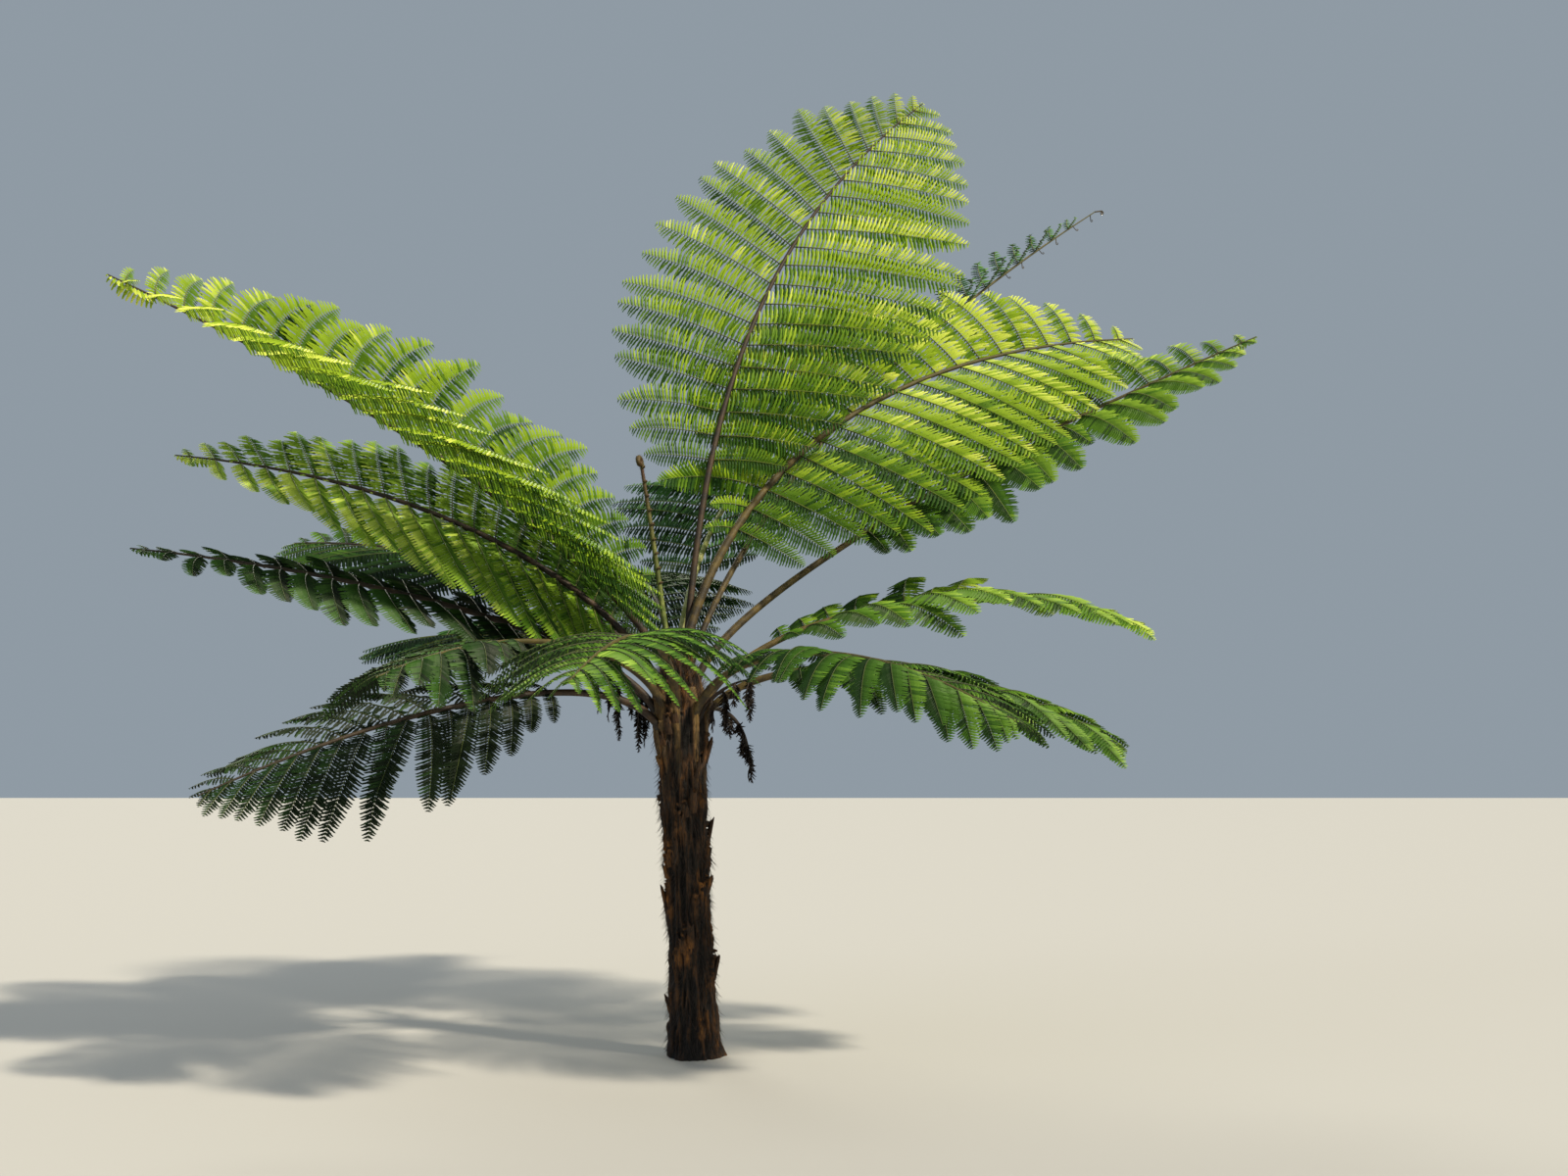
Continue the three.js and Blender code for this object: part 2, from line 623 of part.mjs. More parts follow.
addPart('trunk', trunk, material(COLOURS.trunk, 0.95));
for (const frond of fronds) {
  const bare = Math.ceil(stationOf(frond, frond.first));
  addPart(frond.name, joined([stalkTube(frond, bare), leafySolid(frond)]), material(COLOURS.leaf, 0.55));
}
for (const piece of leafless) {
  const colour = piece.name === CROZIER.name ? COLOURS.crozier : COLOURS.dead;
  addPart(piece.name, piece.solid, material(colour, 0.9));
}

export default group;
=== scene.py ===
# %% [markdown]
# # A tree fern, grown around its solids
# The packed solids give the trunk, each frond's midrib, and how far each of its leaflets reaches. This
# script grows the same fronds by the same rule and carries them finer, down to toothed pinnules, and it
# puts a trunk with a fibrous relief in place of the plain one. Everything is in metres, with Z up, -Y
# towards the viewer, and the origin in the middle of the trunk's flat cut at ground level.

# %% Load the solids
import random
from functools import partialmethod
from math import cos, exp, pi, radians, sin

import bpy
import numpy as np
from mathutils import Matrix, Vector, noise
from mathutils.bvhtree import BVHTree


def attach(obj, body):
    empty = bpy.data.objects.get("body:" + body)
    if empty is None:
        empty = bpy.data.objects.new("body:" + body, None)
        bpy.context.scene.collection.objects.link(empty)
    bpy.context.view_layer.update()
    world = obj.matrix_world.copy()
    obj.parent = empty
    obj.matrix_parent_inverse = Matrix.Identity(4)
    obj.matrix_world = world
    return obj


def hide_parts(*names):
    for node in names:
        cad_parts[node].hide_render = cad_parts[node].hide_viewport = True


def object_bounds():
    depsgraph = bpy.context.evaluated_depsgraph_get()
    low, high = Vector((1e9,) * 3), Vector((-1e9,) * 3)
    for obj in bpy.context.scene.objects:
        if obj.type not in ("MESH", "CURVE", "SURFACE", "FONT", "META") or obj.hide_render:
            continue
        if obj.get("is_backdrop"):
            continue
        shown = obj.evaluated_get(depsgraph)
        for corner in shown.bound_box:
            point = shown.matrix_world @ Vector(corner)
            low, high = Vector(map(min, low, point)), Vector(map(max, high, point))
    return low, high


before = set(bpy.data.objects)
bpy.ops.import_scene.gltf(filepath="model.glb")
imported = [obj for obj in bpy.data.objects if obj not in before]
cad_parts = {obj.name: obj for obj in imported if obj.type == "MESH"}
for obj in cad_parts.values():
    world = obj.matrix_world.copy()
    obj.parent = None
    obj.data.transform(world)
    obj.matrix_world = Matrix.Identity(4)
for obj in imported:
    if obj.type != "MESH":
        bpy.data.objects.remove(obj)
cad_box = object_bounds()
print("nodes:", len(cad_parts), "box:", [tuple(round(x, 2) for x in corner) for corner in cad_box])

# %% [markdown]
# ## Node trees that read as sums
# Materials and Geometry Nodes trees are both graphs of nodes. Building them by hand means many lines of
# links, so two small classes do it. A Wire is the output of a node, and sums or products of wires add the
# Math or Vector Math nodes. A Tree adds any other node in one call. The same two classes serve both
# kinds of tree, because Geometry Nodes uses the shader's maths nodes.


# %% Wires
class Wire:
    """The output of a node. Operators on wires add Math nodes, or Vector Math nodes for vectors."""

    def __init__(self, tree, socket):
        self.tree = tree
        self.socket = socket

    def combined(self, operation, other, swapped=False):
        first, second = (other, self) if swapped else (self, other)
        vectors = [is_vector(first), is_vector(second)]
        if not any(vectors):
            return self.tree.node("ShaderNodeMath", {"operation": operation}, {0: first, 1: second})
        if operation == "MULTIPLY" and not all(vectors):
            vector, number = (first, second) if vectors[0] else (second, first)
            values = {0: vector, "Scale": number}
            return self.tree.node("ShaderNodeVectorMath", {"operation": "SCALE"}, values)
        return self.tree.node("ShaderNodeVectorMath", {"operation": operation}, {0: first, 1: second})

    __add__ = partialmethod(combined, "ADD")
    __radd__ = partialmethod(combined, "ADD", swapped=True)
    __sub__ = partialmethod(combined, "SUBTRACT")
    __rsub__ = partialmethod(combined, "SUBTRACT", swapped=True)
    __mul__ = partialmethod(combined, "MULTIPLY")
    __pow__ = partialmethod(combined, "POWER")
    cross = partialmethod(combined, "CROSS_PRODUCT")

    def unit(self):
        return self.tree.node("ShaderNodeVectorMath", {"operation": "NORMALIZE"}, {0: self})

    def maths(self, operation, *others):
        return self.tree.node("ShaderNodeMath", {"operation": operation}, dict(enumerate((self, *others))))

    def clamped(self, high=1.0):
        return self.maths("MAXIMUM", 0.0).maths("MINIMUM", high)


def is_vector(value):
    """Whether a wire or a plain value is a vector."""
    if isinstance(value, Wire):
        return value.socket.type == "VECTOR"
    return isinstance(value, (tuple, list, Vector))


class Tree:
    """Adds nodes to a node tree. Settings come first, then the values or wires of the inputs."""

    def __init__(self, node_tree):
        self.node_tree = node_tree

    def node(self, kind, settings=None, values=None, output=0):
        made = self.node_tree.nodes.new(kind)
        for name, value in (settings or {}).items():
            if name == "stops":
                set_stops(made.color_ramp, value)
            elif name == "curve":
                set_curve(made.mapping, value)
            else:
                setattr(made, name, value)
        for key, value in (values or {}).items():
            if isinstance(value, Wire):
                self.node_tree.links.new(value.socket, made.inputs[key])
            else:
                made.inputs[key].default_value = value
        return Wire(self, made.outputs[output])

    def end(self, kind, wire):
        """Ends the tree in an output node, which a wire runs into."""
        self.node_tree.links.new(wire.socket, self.node_tree.nodes.new(kind).inputs[0])


def set_stops(ramp, stops):
    """Gives a colour ramp its stops: (place, colour) pairs."""
    while len(ramp.elements) < len(stops):
        ramp.elements.new(1)
    for element, (place, tint) in zip(ramp.elements, stops):
        element.position = place
        element.color = tint


def set_curve(mapping, points):
    """Gives a float curve its points."""
    curve = mapping.curves[0]
    while len(curve.points) < len(points):
        curve.points.new(1, 1)
    for point, place in zip(curve.points, points):
        point.location = place
    mapping.update()


print("wires know:", ", ".join(name for name in vars(Wire) if not name.startswith("__")))

# %% [markdown]
# ## Geometry Nodes as a tool
# What repeats on a fern, thousands of pinnules and hundreds of ribs, comes from Geometry Nodes. Each tree
# has named inputs and ends in Realize Instances and Set Material, and its result is settled into a plain
# mesh at once, so that the finished piece has no modifier left. What differs from line to line, such as
# a leaflet's green or a rib's thickness, comes in as a named attribute of the mesh that the tree works on.


# %% Growing with a tree
def geometry_tree(name, inputs):
    """A new Geometry Nodes tree, and its inputs as wires. Inputs gives each one's kind by its name."""
    group = bpy.data.node_groups.new(name, "GeometryNodeTree")
    for label, kind in {"Geometry": "Geometry", **inputs}.items():
        group.interface.new_socket(label, in_out="INPUT", socket_type="NodeSocket" + kind)
    group.interface.new_socket("Geometry", in_out="OUTPUT", socket_type="NodeSocketGeometry")
    tree = Tree(group)
    entry = group.nodes.new("NodeGroupInput")
    return tree, {socket.name: Wire(tree, socket) for socket in entry.outputs if socket.name}


def finish_tree(tree, geometry, materials, tone=None):
    """Ends a tree in its materials. With a tone, each face takes the one whose number its tone is."""
    geometry = tree.node("GeometryNodeRealizeInstances", {}, {"Geometry": geometry})
    for number, material in enumerate(materials):
        values = {"Geometry": geometry, "Material": material}
        if tone is not None:
            same = {"data_type": "INT", "operation": "EQUAL"}
            values["Selection"] = tree.node("FunctionNodeCompare", same, {2: tone, 3: number})
        geometry = tree.node("GeometryNodeSetMaterial", {}, values)
    tree.end("NodeGroupOutput", geometry)
    return tree


def grow(obj, tree, values):
    """Runs a tree on an object and settles the result into the object's own mesh."""
    modifier = obj.modifiers.new(tree.node_tree.name, "NODES")
    modifier.node_group = tree.node_tree
    sockets = [item for item in tree.node_tree.interface.items_tree if item.in_out == "INPUT"]
    identifiers = {socket.name: socket.identifier for socket in sockets}
    for name, value in values.items():
        modifier[identifiers[name]] = value
    depsgraph = bpy.context.evaluated_depsgraph_get()
    mesh = bpy.data.meshes.new_from_object(obj.evaluated_get(depsgraph), depsgraph=depsgraph)
    obj.modifiers.clear()
    obj.data = mesh
    mesh.name = obj.name
    return obj


def named(tree, name, kind="FLOAT"):
    """A named attribute of the geometry, as a wire."""
    return tree.node("GeometryNodeInputNamedAttribute", {"data_type": kind}, {"Name": name})


def chance(tree, low, high, seed):
    """A random number for each element."""
    return tree.node("FunctionNodeRandomValue", {}, {2: low, 3: high, "Seed": seed}, output=1)


def turned(tree, axes, aim, second):
    """The turn that points a shape's first axis along one way, and its second as near another as it can."""
    settings = {"primary_axis": axes[0], "secondary_axis": axes[1]}
    return tree.node("FunctionNodeAxesToRotation", settings, {"Primary Axis": aim, "Secondary Axis": second})


def instances(tree, points, shape, turn, size, selection=True):
    """An object set on points, turned and sized."""
    shape = tree.node("GeometryNodeObjectInfo", {}, {"Object": shape}, output="Geometry")
    values = {"Points": points, "Selection": selection, "Instance": shape, "Rotation": turn, "Scale": size}
    return tree.node("GeometryNodeInstanceOnPoints", {}, values)


print("Blender", bpy.app.version_string, "grows each mesh and settles it at once")


# %% Meshes that carry values
def new_object(name, vertices, edges=(), faces=()):
    """A mesh object in the scene, at the origin."""
    mesh = bpy.data.meshes.new(name)
    mesh.from_pydata([tuple(v) for v in vertices], [tuple(e) for e in edges], [tuple(f) for f in faces])
    obj = bpy.data.objects.new(name, mesh)
    bpy.context.scene.collection.objects.link(obj)
    return obj


def store(obj, name, kind, values):
    """Stores one value for each vertex as a named attribute."""
    attribute = obj.data.attributes.new(name, kind, "POINT")
    key = "vector" if kind == "FLOAT_VECTOR" else "value"
    attribute.data.foreach_set(key, np.array(values).ravel())


def line_mesh(name, lines, kinds):
    """A mesh of lines. Each is a dict of its points and its values: a list, or one value for them all."""
    vertices, edges = [], []
    stored = {key: [] for key in kinds}
    for line in lines:
        first, count = len(vertices), len(line["points"])
        vertices += line["points"]
        edges += [(first + i, first + i + 1) for i in range(count - 1)]
        for key, values in stored.items():
            values += line[key] if isinstance(line[key], list) else [line[key]] * count
    obj = new_object(name, vertices, edges)
    for key, kind in kinds.items():
        store(obj, key, kind, stored[key])
    return obj


def triangles(obj):
    """How many triangles a mesh has."""
    return sum(len(polygon.vertices) - 2 for polygon in obj.data.polygons)


# %% [markdown]
# ## Greens
# In the sun the fern is a bright yellow-green, in its own shade a deep green, and where the sky lights it
# a cooler one. Leaves are small and many, so the large differences are dealt out as plain greens, spray
# by spray. Each green runs from a dark root to a light tip of every pinnule, because thin tips let light
# through on the real leaf and these are opaque. A fine mottle and a soft gloss do the rest.


# %% Material helpers
def colour(code):
    """A colour for a shader from its usual six-digit code."""
    parts = [int(code[i : i + 2], 16) / 255 for i in (0, 2, 4)]
    return (*[part / 12.92 if part <= 0.04045 else ((part + 0.055) / 1.055) ** 2.4 for part in parts], 1)


def new_material(name):
    """An empty material, as its tree and the wire of its Object coordinates."""
    material = bpy.data.materials.new(name)
    material.use_nodes = True
    material.node_tree.nodes.clear()
    tree = Tree(material.node_tree)
    return material, tree, tree.node("ShaderNodeTexCoord", output="Object")


def finish_material(tree, values):
    """Ends a material in one Principled shader with these values."""
    tree.end("ShaderNodeOutputMaterial", tree.node("ShaderNodeBsdfPrincipled", {}, values))


def carried(tree, name):
    """A value that the mesh itself carries, as a wire."""
    return tree.node("ShaderNodeAttribute", {"attribute_name": name}, output="Fac")


def mottle(tree, where, scale, detail=3, stretch=(1, 1, 1)):
    """A noise from 0 to 1, stretched along an axis where asked."""
    place = tree.node("ShaderNodeMapping", {}, {"Vector": where, "Scale": stretch})
    return tree.node("ShaderNodeTexNoise", {}, {"Vector": place, "Scale": scale, "Detail": detail})


def mixed(tree, factor, first, second):
    """A mix of two colours, plain or wired."""
    return tree.node("ShaderNodeMix", {"data_type": "RGBA"}, {0: factor, 6: first, 7: second}, output=2)


def bumps(tree, height, strength, distance):
    """A Normal from a height, of up to this distance."""
    return tree.node("ShaderNodeBump", {}, {"Height": height, "Strength": strength, "Distance": distance})


print("a green as the shader has it:", [round(part, 3) for part in colour("64880f")])

# %% Leaf materials
BROAD_MOTTLE = 9
FINE_MOTTLE = 260
TIP_SHARE = 0.75


def leaf_material(name, dark, light):
    """A green from a dark root to a light tip, with a mottle of two sizes."""
    material, tree, where = new_material(name)
    broad = mottle(tree, where, BROAD_MOTTLE)
    fine = mottle(tree, where, FINE_MOTTLE, 2)
    share = broad * 0.3 + fine * 0.3 + carried(tree, "tip") * TIP_SHARE - 0.05
    values = {"Base Color": mixed(tree, share.clamped(), colour(dark), colour(light))}
    values |= {"Roughness": 0.42 + fine * 0.25, "Specular IOR Level": 0.2}
    values |= {"Normal": bumps(tree, fine, 0.35, 0.002)}
    finish_material(tree, values)
    return material


GREENS = {
    "bright": (("18360a", "345a12"), ("355c0c", "688c18"), ("64880f", "9cb628"), ("94b01e", "d8e264")),
    "fresh": (("162f06", "345610"), ("2e520a", "5a8418"), ("507414", "88aa2c"), ("7c9c24", "c4d65c")),
    "mid": (("0c1f06", "20400c"), ("1d380a", "426a16"), ("385e12", "688e2a"), ("5c8220", "98b848")),
    "deep": (("061203", "14280c"), ("0c2007", "244412"), ("1b360e", "3e6620"), ("365a20", "6a8e46")),
    "cool": (("0c200a", "224418"), ("1b401a", "40702c"), ("3c702c", "72a44c"), ("70a04c", "bcd290")),
}
greens = {}
for family, pairs in GREENS.items():
    greens[family] = [leaf_material(f"green_{family}_{i}", *pair) for i, pair in enumerate(pairs)]
print("greens:", ", ".join(greens))

# %% [markdown]
# ## Stalks and ribs
# A midrib is thick and brown at its foot, with small warts and golden streaks, painted highlights where
# the light would rake it, and thins to a dark line. The ribs of the leaflets are fine olive lines. The
# material reads how far along its stalk a point is, which the stalk's mesh carries, so that one paint
# fades from a dark foot, partly its own dark scales and partly painted shade under the crown, through
# a streaked brown to the colour of the tip.

# %% Stalk materials
FOOT_FADE = 6
FOOT_DARK = 0.85
# the dark of a stalk's foot: its own scales, and painted shade under the crown
FOOT_SCALES_AND_SHADE = "150d06"
WARTS = 240
PATCHES = 22


def ramp(tree, value, low, high):
    """Grey from black at one value to white at another."""
    stops = [(low, (0, 0, 0, 1)), (high, (1, 1, 1, 1))]
    return tree.node("ShaderNodeValToRGB", {"stops": stops}, {"Fac": value})


def stalk_material(name, dark, light, tip):
    """A warty brown with streaks of painted highlight, darker at the foot with its scales and painted shade,
    turning to the tip's colour.
    """
    material, tree, where = new_material(name)
    along = carried(tree, "along")
    warts = mottle(tree, where, WARTS, 2)
    # golden streaks: painted highlights where the light would rake the stalk
    streak_highlight = ramp(tree, mottle(tree, where, PATCHES, 4) * 0.7 + warts * 0.3, 0.42, 0.66)
    brown = mixed(tree, streak_highlight, colour(dark), colour(light))
    paint = mixed(tree, along, brown, colour(tip))
    # a dark foot: partly the stalk's own dark scales, partly painted shade under the crown
    foot = (1 - along * FOOT_FADE).maths("MAXIMUM", 0.0) * FOOT_DARK
    paint = mixed(tree, foot * (1.2 - streak_highlight), paint, colour(FOOT_SCALES_AND_SHADE))
    values = {"Base Color": paint, "Roughness": 0.5 + warts * 0.25, "Normal": bumps(tree, warts, 0.5, 0.003)}
    finish_material(tree, values)
    return material


STALKS = {
    "stalk_dark": ("1c120a", "4e3619", "2e2412"),
    "stalk_olive": ("33260f", "705c28", "4e4a1c"),
    # a pale stalk, with the sun's light on it painted into its colours
    "stalk_pale": ("8f9440", "dcd9a0", "7f8a3a"),
    "rib_olive": ("3c3d14", "6f7029", "7c8f34"),
    "rib_dark": ("1e2009", "3c4216", "4c5c22"),
}
stalk_paints = {name: stalk_material(name, *tones) for name, tones in STALKS.items()}
print("stalks:", ", ".join(stalk_paints))

# %% [markdown]
# ## The rule that grows a frond
# A midrib leaves the trunk nearly upright, eases from one slope to another, and swings to one side.
# Leaflets stand along it in pairs. They grow longer up to the widest place and shorter to the tip, lean
# forward more and more, and droop. These are the values that the solids were made from, in metres. A few
# more serve this script alone: fill is a pinnule's width for the space it has, tone the number of its
# green, sink how far it hangs, loose how uneven the frond is, and rolled how much of a leaflet is still
# rolled up. A pair of values is for the left and the right leaflets.

# %% Values of the rule
TRUNK_LEAN = -0.053
CLASP = 80
KNEE = 0.2
STEP_GROWTH = 1.25
MIDRIB_TIP = 0.003
MIDRIB_TAPER = 0.8
WIDEST_AT = 0.34
LOWEST_SHARE = 0.42
TIP_FULLNESS = 0.72
SWEEP_GROWTH = 1.4
LAST_SPACE = 0.6
REACH_TRIES = (1, 0.85, 0.7, 0.55, 0.4)

COMMON = dict(
    steps=18, swing=0, bend=0.7, stalk=0.017, pairs=18, first=0.24, roll=0, twist=0, droop=0.28,
    sweep=12, tip_sweep=50, lift=12, curl=0.12, sink=0.35, fill=1.2, tone=0.9, loose=0.06, rolled=0,
    greens="mid", paint="stalk_olive",
)
HANGING = dict(droop=0.5, sink=0.3, fill=1.14, loose=0.09)
FRONDS = (
    dict(
        name="frond_upright", heading=62, swing=-40, rise=86, fall=41, bend=1.1, length=3.62,
        turn=72, seat=0.054, z=1.65, stalk=0.016, reach=0.88, pairs=20, first=0.3, droop=0.22,
        sweep=8, tip_sweep=45, lift=0, roll=-10, twist=-55,
        sink=0.2, fill=0.96, tone=1.9, loose=0.04, greens="bright", slot="leaf_bright", paint="stalk_dark",
    ),
    dict(
        name="frond_arching", heading=42, swing=-34, rise=86, fall=4, bend=0.64, length=3.32,
        turn=37, seat=0.019, z=1.721, stalk=0.02, reach=0.88, pairs=20, first=0.22, droop=0.22,
        sweep=(-20, -4), tip_sweep=(10, 34), lift=(38, -2), curl=(-0.12, 0.12), roll=-28,
        sink=0.3, fill=(1.3, 0.98), tone=(2.4, 2.1), loose=0.05, greens="bright", slot="leaf_bright",
    ),
    dict(
        name="frond_high_left", heading=196, swing=28, rise=54.5, fall=14.3, bend=0.62, length=2.94,
        turn=202, seat=0.049, z=1.642, reach=0.76, pairs=21, first=0.16, droop=0.15,
        sweep=(-28, 20), tip_sweep=(4, 20), lift=(2, 62), curl=(-0.2, -0.3), sink=(0.7, 0.15),
        fill=(1.05, 1.2), tone=(2.1, 1.9), greens="bright", slot="leaf_bright", paint="stalk_dark",
    ),
    dict(
        name="frond_mid_left", heading=184, swing=14, rise=64.7, fall=1.8, bend=0.58, length=2.5,
        turn=180, seat=0.07, z=1.56, reach=0.64, pairs=20, first=0.18, droop=0.2,
        sweep=(-30, 26), tip_sweep=(0, 40), lift=(-24, 44), curl=(-0.2, -0.1), sink=(0.5, 0.15),
        fill=(1.05, 1.3), tone=(2.3, 1.8), greens="fresh", slot="leaf_green", paint="stalk_dark",
    ),
    dict(
        name="frond_low_left", heading=190, swing=6, rise=34, fall=4, bend=0.54, length=2.47,
        turn=190, seat=0.085, z=1.441, reach=0.56, pairs=19, first=0.17, droop=0.25,
        sweep=(-16, 14), tip_sweep=(20, 40), lift=(-6, 24), curl=(-0.2, -0.1), sink=(0.4, 0.15),
        fill=1.15, tone=(1.3, 0.8), loose=0.09, greens="deep", slot="leaf_deep", paint="stalk_dark",
    ),
    dict(
        name="frond_drooping_left", heading=212, swing=-4, rise=16, fall=-26, bend=0.5, length=2.12,
        turn=212, seat=0.086, z=1.38, reach=0.47, pairs=17, first=0.3, droop=0.4, roll=30,
        fill=1.05, tone=0.1, loose=0.12, greens="deep", slot="leaf_deep", paint="stalk_dark",
    ),
    dict(
        name="frond_back_left", heading=128, swing=20, rise=30, fall=-8, length=2.45,
        turn=128, seat=0.086, z=1.46, reach=0.62, lift=(12, 20), roll=12, greens="cool", slot="leaf_green",
    ),
    dict(
        name="frond_left_inner", heading=152, swing=6, rise=50, fall=2, bend=0.6, length=2.5,
        turn=150, seat=0.078, z=1.53, reach=0.62, lift=(12, 24), pairs=15, roll=22,
        slot="leaf_green", paint="stalk_dark",
    ),
    dict(
        name="frond_back_right", heading=28, swing=-38, rise=48, fall=22, bend=0.5, length=3.4,
        turn=28, seat=0.056, z=1.58, reach=0.7, first=0.36,
        sweep=(-10, -16), tip_sweep=(14, 20), lift=(52, -12), curl=(-0.1, 0.12),
        tone=1.7, greens="fresh", slot="leaf_green",
    ),
    # the pale back frond's stalk takes the paint with sunlight painted in
    dict(
        name="frond_pale_back", heading=78, swing=-14, rise=76, fall=2, length=2.9, turn=109, seat=0.07,
        z=1.626, stalk=0.016, reach=0.76, tone=2.1, greens="cool", slot="leaf_pale", paint="stalk_pale",
    ),
    dict(
        name="frond_rear", heading=102, swing=6, rise=58, fall=-6, length=2.6,
        turn=99, seat=0.086, z=1.441, reach=0.66, tone=1.7, slot="leaf_green",
    ),
    HANGING | dict(
        name="frond_right_inner", heading=12, swing=-10, rise=54, fall=-16, bend=0.6, length=2.3,
        turn=14, seat=0.086, z=1.48, reach=0.62, pairs=15, droop=0.45, lift=(34, 12),
        tone=1.9, greens="fresh", slot="leaf_green",
    ),
    HANGING | dict(
        name="frond_right_low", heading=-10, swing=-6, rise=26, fall=-30, length=2.0,
        turn=-8, seat=0.087, z=1.423, reach=0.6, lift=(24, 12), tone=1.7, slot="leaf_green",
    ),
    HANGING | dict(
        name="frond_front_right", heading=-46, swing=6, rise=30, fall=-30, length=1.9,
        turn=-49, seat=0.087, z=1.444, reach=0.6, tone=1.0, slot="leaf_deep",
    ),
    HANGING | dict(
        name="frond_front", heading=-95, swing=-8, rise=30, fall=-26, length=1.8,
        turn=-95, seat=0.086, z=1.48, reach=0.58, fill=1.12, tone=1.4, slot="leaf_deep",
    ),
    HANGING | dict(
        name="frond_front_left", heading=-130, swing=10, rise=34, fall=-22, bend=0.6, length=1.8,
        turn=-130, seat=0.086, z=1.47, reach=0.6, pairs=15, tone=1.0, greens="deep", slot="leaf_deep",
    ),
    dict(
        name="frond_young", heading=50, swing=-30, rise=72, fall=35, bend=0.4, length=3.9,
        turn=0, seat=0.04, z=1.651, stalk=0.013, reach=0.24, pairs=16, first=0.45, droop=0,
        sweep=20, lift=(48, 30), curl=0.3, sink=0.1, fill=0.95, tone=1, greens="cool",
        slot="leaf_pale", rolled=0.3,
    ),
)
UP = Vector((0, 0, 1))
print("fronds:", len(FRONDS))


# %% The midrib
def blend(a, b, share):
    return a + (b - a) * share


def direction(heading, slope):
    """The direction of a heading and a slope, in degrees."""
    turn = radians(heading)
    flat = cos(radians(slope))
    return Vector((flat * cos(turn), flat * sin(turn), sin(radians(slope))))


def trunk_axis(z):
    """The middle of the trunk at a height."""
    return Vector((TRUNK_LEAN * z, 0, z))


def midrib_line(stalk):
    """The stations of a midrib, as its points and how far along each is."""
    places = [(i / stalk["steps"]) ** STEP_GROWTH for i in range(stalk["steps"] + 1)]
    points = [trunk_axis(stalk["z"]) + direction(stalk["turn"], 0) * stalk["seat"]]
    for near, far in zip(places, places[1:]):
        along = (near + far) / 2
        knee = (CLASP - stalk["rise"]) * exp(-along * stalk["length"] / KNEE)
        slope = blend(stalk["rise"], stalk["fall"], along ** stalk["bend"]) + knee
        heading = stalk["heading"] + stalk["swing"] * along
        points.append(points[-1] + direction(heading, slope) * (far - near) * stalk["length"])
    return points, places


def smoothed(line, parts=4):
    """The same line with more points, on smooth arcs through the stations."""
    points, places = line
    padded = [2 * points[0] - points[1], *points, 2 * points[-1] - points[-2]]
    fine = []
    for a, b, c, d in zip(padded, padded[1:], padded[2:], padded[3:]):
        for i in range(parts):
            t = i / parts
            bend = 2 * a - 5 * b + 4 * c - d + (3 * (b - c) + d - a) * t
            fine.append(b + ((c - a) * t + bend * t * t) / 2)
    spread = [blend(near, far, i / parts) for near, far in zip(places, places[1:]) for i in range(parts)]
    return [*fine, points[-1]], [*spread, 1]


def midrib_radius(stalk, along):
    return stalk["stalk"] * (1 - along) ** MIDRIB_TAPER + MIDRIB_TIP


def midrib_at(frond, line, along):
    """The midrib at a place: its middle, and the ways ahead, right and up from the blade."""
    points, places = line
    i = max(k for k in range(len(places) - 1) if places[k] <= along)
    middle = points[i].lerp(points[i + 1], (along - places[i]) / (places[i + 1] - places[i]))
    ahead = (points[i + 1] - points[i]).normalized()
    level = ahead.cross(UP).normalized()
    above = level.cross(ahead)
    roll = radians(frond["roll"] + frond["twist"] * along)
    right = level * cos(roll) + above * sin(roll)
    return middle, ahead, right, right.cross(ahead)


tips = sorted(round(midrib_line({**COMMON, **values})[0][-1].z, 2) for values in FRONDS)
print("tips from", tips[0], "to", tips[-1], "m up")

# %% The leaflets
SIDED = ("sweep", "tip_sweep", "lift", "curl", "sink", "fill", "tone")


def for_side(frond, side):
    """The values of a frond that may differ between its left leaflets, on side -1, and its right ones."""
    return {key: frond[key][side > 0] if isinstance(frond[key], tuple) else frond[key] for key in SIDED}


def leaflet_share(u):
    """How long a leaflet is at a place along the leafy part, as a share of the longest."""
    rise = LOWEST_SHARE + (1 - LOWEST_SHARE) * sin(min(1, u / WIDEST_AT) * pi / 2)
    past = max(0, u - WIDEST_AT) / (1 - WIDEST_AT)
    return rise * cos(past * pi / 2) ** TIP_FULLNESS


def leaflets_of(frond, line):
    """Where each leaflet grows, which way and how long it is, from the foot to the tip."""
    found = []
    for pair in range(frond["pairs"]):
        u = pair / (frond["pairs"] - 1 + LAST_SPACE)
        along = blend(frond["first"], 1, u)
        middle, ahead, right, face = midrib_at(frond, line, along)
        for side in (-1, 1):
            values = for_side(frond, side)
            sweep = radians(blend(values["sweep"], values["tip_sweep"], u**SWEEP_GROWTH))
            lift = radians(values["lift"])
            out = right * side * cos(sweep) + ahead * sin(sweep)
            out = out * cos(lift) + face * sin(lift)
            values |= dict(root=middle, ahead=ahead, out=out, side=side, u=u, droop=frond["droop"])
            found.append({**values, "length": frond["reach"] * leaflet_share(u)})
    return found


def rib_point(leaflet, w, length):
    """A point on a leaflet's own rib, w of the way along."""
    bend = leaflet["ahead"] * leaflet["curl"] - UP * leaflet["droop"]
    return leaflet["root"] + (leaflet["out"] * w + bend * w * w) * length


print("leaflets by the rule:", sum(2 * {**COMMON, **values}["pairs"] for values in FRONDS))

# %% [markdown]
# ## As long as the solid's leaflets
# Where two fronds come close, the solid has shorter leaflets, or none. The script doesn't repeat that
# search. It looks for each leaflet's tip on the solid: the longest of the five lengths whose tip lies on
# the frond's surface is the length that the solid has.

# %% Reach
TIP_ON_SOLID = 0.006


